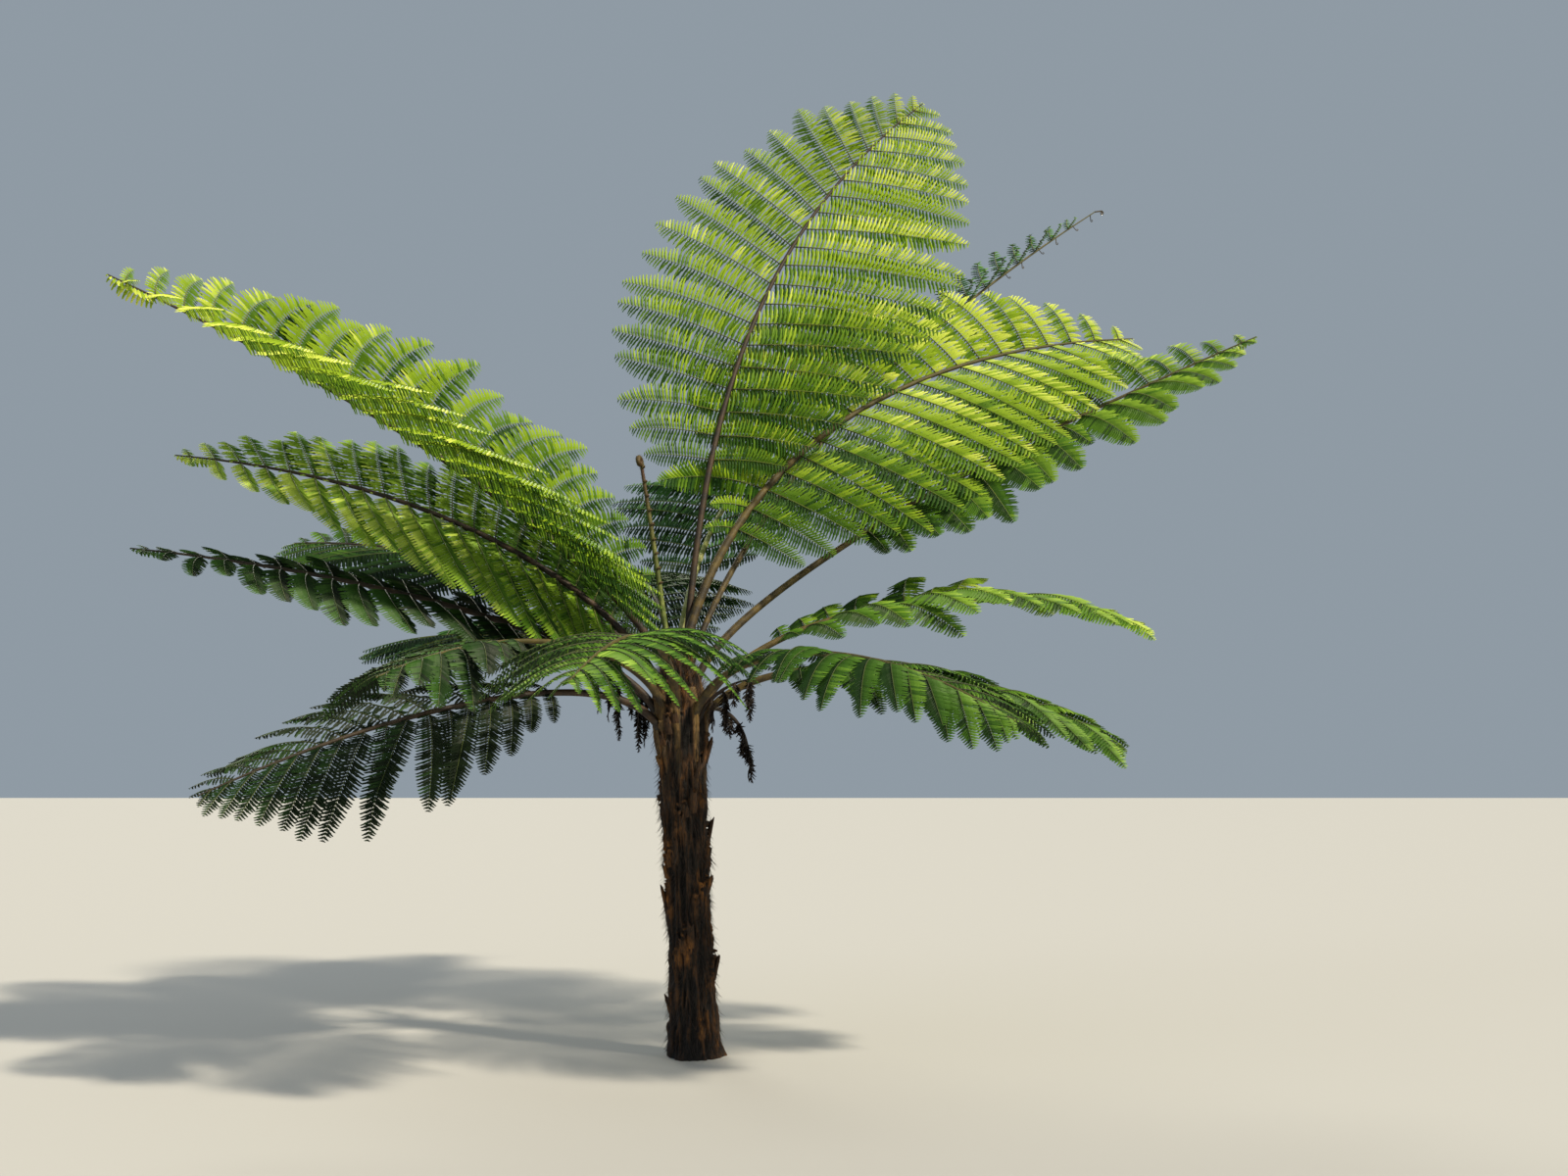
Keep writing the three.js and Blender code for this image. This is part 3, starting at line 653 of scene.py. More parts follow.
def kept_share(solid, leaflet):
    """How much of its full length the solid gives a leaflet, or 0 where it left it out."""
    for share in REACH_TRIES:
        tip = rib_point(leaflet, 1, leaflet["length"] * share)
        if solid.find_nearest(tip)[3] < TIP_ON_SOLID:
            return share
    return 0


depsgraph = bpy.context.evaluated_depsgraph_get()
grown = []
for values in FRONDS:
    frond = {**COMMON, **values}
    exact = midrib_line(frond)
    frond["line"] = smoothed(exact)
    solid = BVHTree.FromObject(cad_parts[frond["name"]], depsgraph)
    shares = [kept_share(solid, leaflet) for leaflet in leaflets_of(frond, exact)]
    frond["leaflets"] = [
        {**leaflet, "length": leaflet["length"] * share}
        for leaflet, share in zip(leaflets_of(frond, frond["line"]), shares)
        if share
    ]
    grown.append(frond)
    print(f"{frond['name']}: {len(frond['leaflets'])} of {len(shares)} leaflets, {shares.count(1)} in full")

# %% [markdown]
# ## One pinnule
# A leaflet is a comb of pinnules, each some 8 cm long and 2 cm wide, with lobed edges, folded a little
# along its own midrib and bent down at its tip. It is repeated many thousand times, so it is a mesh of
# 16 triangles: a row of notches and teeth on each side of the fold. The two sides of a leaflet need
# mirrored pinnules, because the tips bend towards the leaflet's end.

# %% The pinnule mesh
TEETH = 3
FOLD = 0.4
TIP_DROP = 0.32
TIP_BEND = 0.75
NOTCH = 0.76
TOOTH_TIP = 0.7
TOOTH_WIDEST = 0.55
FOOT_WIDTH = 0.55
WIDENING = 2.2


def half_width(y):
    """Half of a pinnule's width at a place along it, where the whole is 1 at the most."""
    return 0.5 * min(1, FOOT_WIDTH + WIDENING * y) * (1 - y**2.4) ** 0.75


def pinnule(name, side):
    """A pinnule of length 1 along Y and width 1, bent towards +X on side 1 and -X on side -1."""

    def at(y, x):
        return (x + side * TIP_BEND * y * y, y, -FOLD * abs(x) - TIP_DROP * y * y)

    vertices = [at(k / TEETH, 0) for k in range(TEETH + 1)]
    faces = []
    for sign in (-1, 1):
        start = len(vertices)
        for k in range(TEETH):
            vertices.append(at(k / TEETH, sign * half_width(k / TEETH) * NOTCH))
        for k in range(TEETH):
            vertices.append(at((k + TOOTH_TIP) / TEETH, sign * half_width((k + TOOTH_WIDEST) / TEETH)))
        for k in range(TEETH):
            notch, tooth = start + k, start + TEETH + k
            after = notch + 1 if k < TEETH - 1 else TEETH
            blade = (k, k + 1, after, notch) if k < TEETH - 1 else (k, TEETH, notch)
            faces += [loop[::-1] if sign > 0 else loop for loop in (blade, (notch, after, tooth))]
    leaf = new_object(name, vertices, faces=faces)
    store(leaf, "tip", "FLOAT", [vertex[1] for vertex in vertices])
    return leaf


pinnules = {side: pinnule(f"pinnule_{side}", side) for side in (-1, 1)}
normals = [polygon.normal.z for polygon in pinnules[1].data.polygons]
print("pinnule:", triangles(pinnules[1]), "triangles, lowest upward normal", round(min(normals), 2))

# %% [markdown]
# ## From ribs to leaflets
# Each leaflet's rib is a line of vertices that carries what the tree needs: the blade's upward way, the
# space between pinnules, how long the longest is, how wide they are for their space, how far they sink,
# the number of their green, and which side of the leaflet is its front. The tree resamples the line at
# that spacing and sets two pinnules at each point, one each side. They lean forward, more so towards the
# tip, and follow a curve of lengths from root to tip. The front row stands up a little and is painted
# lighter, the back row darker: painted sunlight and shade on the two rows of a real frond's leaflets.

# %% The tree of pinnules
PINNULE_LENGTHS = [(0, 0.6), (0.1, 0.86), (0.3, 1), (0.62, 0.96), (0.84, 0.66), (0.95, 0.38), (1, 0.16)]
TONES = 4
TONE_SHIFT = 0.45
# how much lighter the front row is painted, as sunlight, and the back row darker, as shade
ROW_PAINTED_SUN_AND_SHADE = 0.55
FRONT_RAISED = 0.32
UNEVEN_LENGTH = 0.08
UNEVEN_SINK = 0.1
NARROWING = 0.35
DEPTH_OF_LENGTH = 0.55


def pinnule_tree():
    inputs = {"Left pinnule": "Object", "Right pinnule": "Object", "Lean": "Float", "Tip lean": "Float"}
    inputs |= {"Uneven": "Float", "Tilt": "Float", "Seed": "Int"}
    inputs |= {f"Green {i}": "Material" for i in range(TONES)}
    tree, given = geometry_tree("pinnules", inputs)
    line = tree.node("GeometryNodeMeshToCurve", {}, {"Mesh": given["Geometry"]})
    spacing = named(tree, "spacing")
    line = tree.node("GeometryNodeResampleCurve", {"mode": "LENGTH"}, {"Curve": line, "Length": spacing})
    place = tree.node("GeometryNodeSplineParameter", output="Factor")
    share = tree.node("ShaderNodeFloatCurve", {"curve": PINNULE_LENGTHS}, {"Value": place})
    tangent = tree.node("GeometryNodeInputTangent")
    face = named(tree, "face", "FLOAT_VECTOR")
    across = tangent.cross(face).unit()
    past_root = place.maths("GREATER_THAN", 0.01)
    rows = tree.node("GeometryNodeJoinGeometry")
    for side, label in ((-1, "Left pinnule"), (1, "Right pinnule")):
        seed = given["Seed"] + side
        wobble = chance(tree, -1.0, 1.0, seed)
        tilt = chance(tree, -1.0, 1.0, seed + 2)
        shift = chance(tree, -TONE_SHIFT, TONE_SHIFT, seed + 4)
        front = named(tree, "front") * side
        lean = given["Lean"] + place * place * given["Tip lean"] + wobble * given["Uneven"]
        aim = across * (lean.maths("COSINE") * side) + tangent * lean.maths("SINE")
        sink = named(tree, "sink") * -1.0 + wobble * UNEVEN_SINK
        aim = aim + tree.node("ShaderNodeCombineXYZ", {}, {2: sink})
        aim = aim + face * (front.maths("MAXIMUM", 0.0) * FRONT_RAISED)
        turn = turned(tree, "YZ", aim, face + tangent * (tilt * given["Tilt"]))
        length = named(tree, "breadth") * share * (1 + wobble * UNEVEN_LENGTH)
        width = spacing * named(tree, "fill") * share**NARROWING
        size = tree.node("ShaderNodeCombineXYZ", {}, {0: width, 1: length, 2: length * DEPTH_OF_LENGTH})
        leaves = instances(tree, line, given[label], turn, size, past_root)
        # painted sunlight on the front row, painted shade on the back row
        tone = named(tree, "tone") + shift + front * ROW_PAINTED_SUN_AND_SHADE
        settings = {"data_type": "FLOAT", "domain": "INSTANCE"}
        values = {"Geometry": leaves, "Name": "tone", "Value": tone}
        row = tree.node("GeometryNodeStoreNamedAttribute", settings, values)
        tree.node_tree.links.new(row.socket, rows.socket.node.inputs[0])
    tone = named(tree, "tone").maths("ROUND").clamped(TONES - 1.0)
    return finish_tree(tree, rows, [given[f"Green {i}"] for i in range(TONES)], tone)


PINNULES = pinnule_tree()
print("pinnule tree:", len(PINNULES.node_tree.nodes), "nodes")

# %% [markdown]
# ## The leafy part of each frond
# The rib of a leaflet follows the rule, with a little unevenness, because no two leaflets of a real frond
# hang alike. Near the trunk the greens are darker, as in the shade of a real crown's heart. A new frond
# is still unrolling, so the end of each of its ribs rolls up into a hook.

# %% Ribs with their values
LEAF_KINDS = {"face": "FLOAT_VECTOR"}
LEAF_KINDS |= {name: "FLOAT" for name in ("spacing", "breadth", "tone", "sink", "fill", "front")}
RIB_POINTS = 14
ROLL_TURN = radians(420)
UNEVEN_REACH = 0.05
UNEVEN_TONE = 0.5
PINNULE_SPACE = 0.0215
LONGEST_PINNULE = 0.8
PINNULE_OF_LEAFLET = 0.17
LEAST_PINNULE = 0.008
HEART_SHADE = 1.6
END_FROM = 0.93
END_SPACE = 0.015
END_BREADTH = 0.085
END_LIGHT = 0.4


def blade_face(leaflet, way):
    """The upward way of a leaflet's blade, where its rib runs this way."""
    across = leaflet["ahead"] - way * leaflet["ahead"].dot(way)
    return across.cross(way).normalized() * -leaflet["side"]


def rib_line(leaflet, rolled):
    """The points of a leaflet's rib, whose last part may be rolled up towards its upper side."""
    length = leaflet["length"]
    points = [rib_point(leaflet, i / RIB_POINTS * (1 - rolled), length) for i in range(RIB_POINTS + 1)]
    if rolled:
        way = (points[-1] - points[-2]).normalized()
        axle = way.cross(blade_face(leaflet, way)).normalized()
        for i in range(RIB_POINTS):
            tight = (i + 1) / RIB_POINTS
            way = Matrix.Rotation(ROLL_TURN * 2 * tight / RIB_POINTS, 3, axle) @ way
            points.append(points[-1] + way * rolled * length / RIB_POINTS)
    return points


def uneven(leaflet, loose, rng):
    """The same leaflet, a little off the rule."""
    out = leaflet["out"] + Vector([rng.uniform(-loose, loose) for _ in range(3)])
    length = leaflet["length"] * (1 - rng.uniform(0, UNEVEN_REACH))
    droop = leaflet["droop"] * rng.uniform(0.8, 1.2)
    return {**leaflet, "out": out.normalized(), "length": length, "droop": droop}


def leaflet_line(frond, leaflet, rng):
    """A leaflet's rib, with the values that its pinnules need."""
    leaflet = uneven(leaflet, frond["loose"], rng)
    points = rib_line(leaflet, frond["rolled"])
    ways = [(b - a).normalized() for a, b in zip(points, points[1:] + [2 * points[-1] - points[-2]])]
    share = min(1, leaflet["length"] / frond["reach"])
    room = (1 - frond["first"]) * frond["length"] / frond["pairs"]
    shade = HEART_SHADE * (1 - leaflet["u"]) ** 2
    return dict(
        points=points,
        face=[blade_face(leaflet, way) for way in ways],
        spacing=PINNULE_SPACE * (0.5 + 0.5 * share) * frond["reach"] ** 0.25,
        breadth=min(LONGEST_PINNULE * room, PINNULE_OF_LEAFLET * leaflet["length"] + LEAST_PINNULE),
        tone=leaflet["tone"] - shade + rng.uniform(-UNEVEN_TONE, UNEVEN_TONE),
        sink=leaflet["sink"],
        fill=leaflet["fill"],
        front=-leaflet["side"],
    )


def end_line(frond):
    """The last stretch of a midrib, where pinnules stand on the midrib itself."""
    points, places = frond["line"]
    left, right = for_side(frond, -1), for_side(frond, 1)
    return dict(
        points=[point for point, place in zip(points, places) if place >= END_FROM],
        face=midrib_at(frond, frond["line"], END_FROM)[3],
        spacing=END_SPACE,
        breadth=END_BREADTH * frond["reach"],
        tone=left["tone"] + END_LIGHT,
        sink=left["sink"],
        fill=right["fill"],
        front=0,
    )


print("values of a rib:", ", ".join(LEAF_KINDS))

# %% Leaves
PINNULE_LEAN = 0.22
PINNULE_TIP_LEAN = 0.55
TILT_OF_LOOSE = 2


def leafy(name, lines, materials, values):
    """A piece of pinnules along lines."""
    given = {"Left pinnule": pinnules[-1], "Right pinnule": pinnules[1], **values}
    given |= {f"Green {i}": material for i, material in enumerate(materials)}
    return grow(line_mesh(name, lines, LEAF_KINDS), PINNULES, given)


def leaves_of(frond, number):
    """All leaflets of a frond as one piece. Their ribs are kept for the tubes."""
    rng = random.Random(number)
    lines = [leaflet_line(frond, leaflet, rng) for leaflet in frond["leaflets"]]
    frond["ribs"] = [line["points"] for line in lines]
    if not frond["rolled"]:
        lines.append(end_line(frond))
    values = {"Lean": PINNULE_LEAN, "Tip lean": PINNULE_TIP_LEAN, "Uneven": frond["loose"]}
    values |= {"Tilt": frond["loose"] * TILT_OF_LOOSE, "Seed": number}
    return leafy(frond["name"] + "_leaves", lines, greens[frond["greens"]], values)


count = 0
for number, frond in enumerate(grown):
    frond["leaves"] = leaves_of(frond, number)
    count += triangles(frond["leaves"])
    print(f"{frond['leaves'].name}: {triangles(frond['leaves'])} triangles")
print("leaves in all:", count, "triangles")

# %% [markdown]
# ## Midribs and ribs
# Round, tapering tubes come from a second tree: the lines become curves with a radius at each point, and
# a circle is swept along them. It could be done with a skin or a bevelled curve too, but a tree takes
# hundreds of lines at once, with the radius as one more attribute.

# %% The tree of tubes
TUBE_KINDS = {"thick": "FLOAT", "along": "FLOAT", "tone": "INT"}


def tube_tree():
    tree, given = geometry_tree("tubes", {"Sides": "Int", "Paint 0": "Material", "Paint 1": "Material"})
    line = tree.node("GeometryNodeMeshToCurve", {}, {"Mesh": given["Geometry"]})
    ring = tree.node("GeometryNodeCurvePrimitiveCircle", {}, {"Resolution": given["Sides"], "Radius": 1.0})
    values = {"Curve": line, "Profile Curve": ring, "Scale": named(tree, "thick"), "Fill Caps": True}
    swept = tree.node("GeometryNodeCurveToMesh", {}, values)
    swept = tree.node("GeometryNodeSetShadeSmooth", {}, {"Geometry": swept, "Shade Smooth": True})
    return finish_tree(tree, swept, [given["Paint 0"], given["Paint 1"]], named(tree, "tone", "INT"))


TUBES = tube_tree()
print("tube tree:", len(TUBES.node_tree.nodes), "nodes")


def tubes(name, lines, sides, paint, second_paint):
    """One piece of tubes along lines. Those of tone 1 take the second paint."""
    values = {"Sides": sides, "Paint 0": paint, "Paint 1": second_paint}
    return grow(line_mesh(name, lines, TUBE_KINDS), TUBES, values)


# %% Coils
COIL_STEPS = 14
COIL_RUN = 3
COIL_TIGHTENING = 0.72
COIL_THINNING = 0.55


def coil(start, ahead, side, straight, size, turns, thick, along=(0.75, 1)):
    """A line that runs straight on and then coils towards one side, thinner and tighter all the way."""
    points, radii = [start], [thick]
    place, way = start, ahead.normalized()
    axle = way.cross(side).normalized()
    steps = int(COIL_STEPS * turns)
    for i in range(COIL_RUN):
        place = place + way * straight / COIL_RUN
        points.append(place)
        radii.append(thick)
    for i in range(steps):
        tight = 1 - COIL_TIGHTENING * i / steps
        way = Matrix.Rotation(2 * pi * turns / steps, 3, axle) @ way
        place = place + way * 2 * pi * size * tight * turns / steps
        points.append(place)
        radii.append(thick * (1 - COIL_THINNING * i / steps))
    spread = [blend(*along, i / len(points)) for i in range(len(points))]
    return dict(points=points, thick=radii, along=spread, tone=0)


# %% Ribs of each frond
HOOKS = 9
HOOKS_FROM = 0.7
HOOKS_TO = 0.99
DARK_FOOT = (0.04, 0)
HOOK = dict(straight=0.034, size=0.0075, turns=0.9, thick=0.0024, along=DARK_FOOT)
TIP_COIL = dict(straight=0.045, size=0.011, turns=1.3, thick=0.0042, along=DARK_FOOT)
RIB_THICK = 0.0032
RIB_THIN = 0.0008
RIB_SIDES = 6


def hooks_of(frond):
    """What a new frond still has at its end: bare hooks in place of leaflets, and a coil at the tip."""
    found = []
    for i in range(HOOKS):
        along = blend(HOOKS_FROM, HOOKS_TO, i / (HOOKS - 1))
        middle, ahead, right, _ = midrib_at(frond, frond["line"], along)
        down = right * (0.5 if i % 2 else -0.3) + ahead * 0.35 - UP
        found.append(coil(middle, down, ahead, **HOOK))
    points = frond["line"][0]
    ahead = (points[-1] - points[-2]).normalized()
    level = Vector((ahead.x, ahead.y, 0)).normalized()
    found.append(coil(points[-1], ahead + level * 1.5, -UP, **TIP_COIL))
    return found


def midrib_tube(stalk, line):
    """A midrib as a line for the tubes."""
    points, places = line
    return dict(points=points, thick=[midrib_radius(stalk, along) for along in places], along=places, tone=0)


def rib_tube(points, thick, thin, tone):
    """A rib as a line for the tubes, evenly thinner to its end."""
    spread = [i / (len(points) - 1) for i in range(len(points))]
    return dict(points=points, thick=[blend(thick, thin, place) for place in spread], along=spread, tone=tone)


def ribs_of(frond):
    """A frond's midrib and the ribs of its leaflets, as one piece."""
    lines = [midrib_tube(frond, frond["line"])]
    lines += [rib_tube(rib, RIB_THICK, RIB_THIN, 1) for rib in frond["ribs"]]
    if frond["rolled"]:
        lines += hooks_of(frond)
    # the fronds in the deep and mid greens are in painted shade, and their ribs are painted darker with them
    rib_paint = "rib_dark" if frond["greens"] in ("deep", "mid") else "rib_olive"
    paints = [stalk_paints[frond["paint"]], stalk_paints[rib_paint]]
    return tubes(frond["name"] + "_ribs", lines, RIB_SIDES, *paints)


for frond in grown:
    frond["stalk_piece"] = ribs_of(frond)
print("ribs in all:", sum(triangles(frond["stalk_piece"]) for frond in grown), "triangles")

# %% [markdown]
# ## The trunk
# A tree fern's trunk isn't wood with bark on it. It is a slender stem in a thick coat of black fibres,
# with the broken bases of old stalks in a spiral, and ridges under the live stalks where their feet run
# down it. The surface is one grid, set out from the trunk's middle by the solid's own rings plus a relief.

# %% The trunk's rings and old bases
TRUNK_RINGS = (
    (0, 0.112), (0.06, 0.104), (0.16, 0.097), (0.4, 0.092), (0.8, 0.094), (1.18, 0.098),
    (1.33, 0.105), (1.45, 0.113), (1.57, 0.11), (1.67, 0.09), (1.74, 0.06), (1.775, 0.026),
)
TRUNK_TOP = TRUNK_RINGS[-1][0]
TRUNK_RADIUS = 0.1
FLARE = dict(size=0.026, height=0.09, lobes=3, depth=0.8, turn=20)
STUBS = dict(count=14, bottom=0.3, top=1.25, turn=137.5)
BASES_BELOW = 4
BASES_ABOVE = 3
BASE = dict(tall=(0.11, 0.19), wide=(0.024, 0.036), proud=(0.024, 0.032), proud_between=(0.012, 0.024))


def trunk_radius(z):
    """The plain trunk's radius at a height, without its flare."""
    return np.interp(z, *np.array(TRUNK_RINGS).T)


def stub_places():
    """The heading and height of each old stalk base: the solid's spiral, with two more between each two."""
    step = (STUBS["top"] - STUBS["bottom"]) / (STUBS["count"] - 1)
    places = []
    for i in range(-BASES_BELOW, STUBS["count"] + BASES_ABOVE):
        for third in range(3):
            height = STUBS["bottom"] + step * (i + third / 3)
            in_solid = third == 0 and 0 <= i < STUBS["count"]
            places.append((i * STUBS["turn"] + third * 120, height, in_solid))
    return places


print("old bases:", len(stub_places()))

# %% The trunk's relief
ROUND = 180
RINGS = 370
LUMPS = dict(scale=9, height=0.008)
STRANDS = dict(scale=46, stretch=4.5, height=0.026)
THREADS = dict(scale=78, stretch=8, height=0.018)
RAGGED = dict(scale=60, height=0.004)
CREST_LEVEL = 0.82
RIDGE = dict(length=0.45, width=0.023, height=0.013, above=0.04)
SMOOTHED_UNDER_RIDGE = 0.6
BASES_END = 1.72


def apart(turn, heading):
    """How far a direction is from a heading, in radians, the short way round."""
    return (turn - radians(heading) + pi) % (2 * pi) - pi


def crests(places, scale, stretch, height):
    """Sharp upright crests of noise at many places, and the hollows between them."""
    found = [1 - abs(noise.noise(Vector((x * scale, y * scale, z * stretch)))) for x, y, z in places]
    return height * (np.array(found) - CREST_LEVEL)


def lumps(places, scale, height=1):
    """Soft lumps of noise at many places."""
    return height * np.array([noise.noise(Vector(place) * scale) for place in places])


def old_bases(turn, height, ragged):
    """How far the broken bases of old stalks stand out, each with a ragged top edge."""
    relief = np.zeros_like(height)
    rng = random.Random(7)
    for heading, low, in_solid in stub_places():
        tall = rng.uniform(*BASE["tall"])
        wide = rng.uniform(*BASE["wide"])
        proud = rng.uniform(*BASE["proud" if in_solid else "proud_between"])
        rise = (height - low) / tall
        aside = apart(turn, heading) * TRUNK_RADIUS / (wide * (1.1 - 0.35 * np.clip(rise, 0, 1)))
        arch = np.sqrt(np.clip(1 - aside**2, 0, 1))
        whole = np.clip((1 - 0.35 * np.abs(aside) + 0.5 * ragged - rise) / 0.14, 0, 1) ** 0.7
        relief = np.maximum(relief, proud * np.clip(rise, 0, 1) ** 1.2 * arch * whole)
    return relief


def live_feet(turn, height, radius):
    """Ridges where the feet of the live stalks run down the trunk, from 0 to 1."""
    clasp = np.zeros_like(height)
    for frond in grown:
        below = (frond["z"] + RIDGE["above"] - height) / RIDGE["length"]
        aside = apart(turn, frond["turn"]) * radius / (RIDGE["width"] * (1 - 0.4 * np.clip(below, 0, 1)))
        ridge = np.clip(1 - aside**2, 0, 1) ** 0.6 * np.clip(1 - below, 0, 1) ** 0.8
        clasp = np.maximum(clasp, np.where(below > -0.3, ridge, 0))
    return clasp


print("from a heading of 350 degrees to 10:", round(apart(radians(10), 350), 2), "radians")

# %% The trunk's surface
grid = np.meshgrid(np.arange(ROUND) * 2 * pi / ROUND, np.linspace(0, 1, RINGS) * TRUNK_TOP)
trunk_turn, trunk_height = grid[0].ravel(), grid[1].ravel()
lobe = 1 - np.cos(FLARE["lobes"] * (trunk_turn - radians(FLARE["turn"])))
flare = FLARE["size"] * np.exp(-trunk_height / FLARE["height"]) * (1 - FLARE["depth"] * lobe / 2)
plain = trunk_radius(trunk_height) + flare

around = np.cos(trunk_turn) * TRUNK_RADIUS, np.sin(trunk_turn) * TRUNK_RADIUS
noise_places = np.stack([*around, trunk_height], axis=1)
clasp = live_feet(trunk_turn, trunk_height, plain)
relief = lumps(noise_places, **LUMPS) + crests(noise_places, **STRANDS) + crests(noise_places, **THREADS)
relief = relief + lumps(noise_places, **RAGGED)
bases = old_bases(trunk_turn, trunk_height, lumps(noise_places, RAGGED["scale"]))
proud = np.maximum(bases, RIDGE["height"] * clasp)
relief = (1 - SMOOTHED_UNDER_RIDGE * clasp) * relief + proud * np.clip((BASES_END - trunk_height) / 0.1, 0, 1)
print("trunk relief in mm:", round(float(relief.min()) * 1000, 1), "to", round(float(relief.max()) * 1000, 1))

# %% The trunk's mesh
TOP_RISE = 0.004


def grid_faces(around, rings):
    """The four-sided faces of a tube of vertices, ring by ring from the bottom."""
    faces = []
    for low in range(0, around * (rings - 1), around):
        for i in range(around):
            after = (i + 1) % around
            faces.append((low + i, low + after, low + around + after, low + around + i))
    return faces


def fan_faces(first, around, tip):
    """The triangles from a ring of vertices up to one vertex."""
    return [(first + i, first + (i + 1) % around, tip) for i in range(around)]


surface = plain + relief * np.clip((1.8 - trunk_height) / 0.15, 0.15, 1)
across = np.cos(trunk_turn) * surface + TRUNK_LEAN * trunk_height, np.sin(trunk_turn) * surface
ends = [trunk_axis(0), trunk_axis(TRUNK_TOP + TOP_RISE)]
foot = ROUND * RINGS
faces = grid_faces(ROUND, RINGS)
faces += [(after, i, tip) for i, after, tip in fan_faces(0, ROUND, foot)]
faces += fan_faces(foot - ROUND, ROUND, foot + 1)
trunk = new_object("trunk_bark", [*np.stack([*across, trunk_height], axis=1).tolist(), *ends], faces=faces)
store(trunk, "clasp", "FLOAT", [*clasp, 0, 0])
store(trunk, "proud", "FLOAT", [*np.clip(0.35 + relief / 0.022, 0, 1), 0, 0])
trunk.data.shade_smooth()
print("trunk:", triangles(trunk), "triangles")

# %% [markdown]
# ## Bark of fibres
# The coat of fibres is nearly black, with painted shade in its depths, and warm brown on its strands,
# partly their own colour and partly a painted highlight where the light would catch them, with orange
# patches of painted sunlight. The ridges of live stalks are smoother and more olive. The mesh carries
# how far each point stands out and how much of a ridge it is, and noises that are stretched along the
# trunk do the finer threads.


# %% Bark material
def bark_material():
    material, tree, where = new_material("bark_fibres")
    ridge = carried(tree, "clasp")
    streaks = mottle(tree, where, 60, 4, (1, 1, 0.12))
    threads = mottle(tree, where, 170, 3, (1, 1, 0.06))
    grain = mottle(tree, where, 420, 3, (1, 1, 0.25))
    # orange patches of painted sunlight, laid at random all round the trunk
    sunlit_patches = ramp(tree, mottle(tree, where, 11, 5, (1, 1, 0.4)), 0.55, 0.72)
    # darker in the hollows as painted shade, lighter on proud strands and threads, partly their own colour
    # and partly painted highlight
    shade = (carried(tree, "proud") * 0.7 + streaks * 0.5 + threads * 0.9 + grain * 0.2 - 0.8).clamped()
    brown = mixed(tree, shade * shade, colour("0a0603"), colour("7c5226"))
    brown = mixed(tree, sunlit_patches * shade, brown, colour("b0722e"))
    smooth = mixed(tree, threads * 1.6 - 0.3, colour("1c1207"), colour("84682c"))
    height = threads * 0.5 + streaks * 0.25 + grain * 0.25
    values = {"Base Color": mixed(tree, (ridge * 1.2 - 0.35).clamped(), brown, smooth)}
    values |= {"Roughness": 0.9 - ridge * 0.35, "Normal": bumps(tree, height, 1.0, 0.012)}
    finish_material(tree, values)
    return material


bark = bark_material()
trunk.data.materials.append(bark)
print("bark:", len(bark.node_tree.nodes), "nodes")

# %% [markdown]
# ## Broken bases and loose fibres
# Some bases of old stalks stand off the trunk as torn sheaths, and short fibres stick out all over it.
# One tree sets a shape on each vertex of a mesh, turned and sized by the vertex's own attributes, and
# makes the sheaths. Another strews fibres over a surface, and serves the trunk and the rolled-up frond.
# A fibre near the ground is kept shorter than its height, so that none goes into the ground.

# %% Trees that set and strew
GROUND_GAP = 0.01
SHORTEST_FIBRE = 0.35
FIBRE_OF_HEIGHT = 0.8


def setting_tree():
    tree, given = geometry_tree("setting", {"Shape": "Object", "Paint": "Material"})
    points = tree.node("GeometryNodeMeshToPoints", {}, {"Mesh": given["Geometry"]})
    aim, face, size = [named(tree, name, "FLOAT_VECTOR") for name in ("aim", "face", "size")]
    shapes = instances(tree, points, given["Shape"], turned(tree, "ZY", aim, face), size)
    return finish_tree(tree, shapes, [given["Paint"]])


def strewing_tree():
    inputs = {"Shape": "Object", "Paint": "Material", "Density": "Float", "Longest": "Float"}
    inputs |= {"Way": "Vector", "Wild": "Float", "Off": "Float", "Seed": "Int"}
    tree, given = geometry_tree("strewing", inputs)
    density = given["Density"] * named(tree, "hairy")
    values = {"Mesh": given["Geometry"], "Density": density, "Seed": given["Seed"]}
    points = tree.node("GeometryNodeDistributePointsOnFaces", {}, values)
    normal = Wire(tree, points.socket.node.outputs["Normal"])
    values = {0: (-1.0, -1.0, -1.0), 1: (1.0, 1.0, 1.0), "Seed": given["Seed"] + 1}
    stray = tree.node("FunctionNodeRandomValue", {"data_type": "FLOAT_VECTOR"}, values)
    turn = turned(tree, "ZY", given["Way"] + normal * given["Off"] + stray * given["Wild"], normal)
    position = tree.node("GeometryNodeInputPosition")
    height = tree.node("ShaderNodeSeparateXYZ", {}, {"Vector": position}, output="Z")
    length = given["Longest"] * chance(tree, SHORTEST_FIBRE, 1.0, given["Seed"] + 2)
    length = length.maths("MINIMUM", height * FIBRE_OF_HEIGHT)
    size = tree.node("ShaderNodeCombineXYZ", {}, {0: length, 1: length, 2: length})
    above = height.maths("GREATER_THAN", GROUND_GAP)
    return finish_tree(tree, instances(tree, points, given["Shape"], turn, size, above), [given["Paint"]])


SETTING = setting_tree()
STREWING = strewing_tree()
print("setting tree:", len(SETTING.node_tree.nodes), "nodes, strewing tree:", len(STREWING.node_tree.nodes))

# %% Torn sheaths
SHEATH_SIDES = 10
SHEATH_RINGS = 5
SHEATH_SHAPES = 3
SHEATH_LEFT_OUT = 0.45
SHEATH = dict(long=(0.09, 0.13), long_between=(0.05, 0.09), wide=(0.016, 0.021), lean=(0.1, 0.3), aside=0.15)


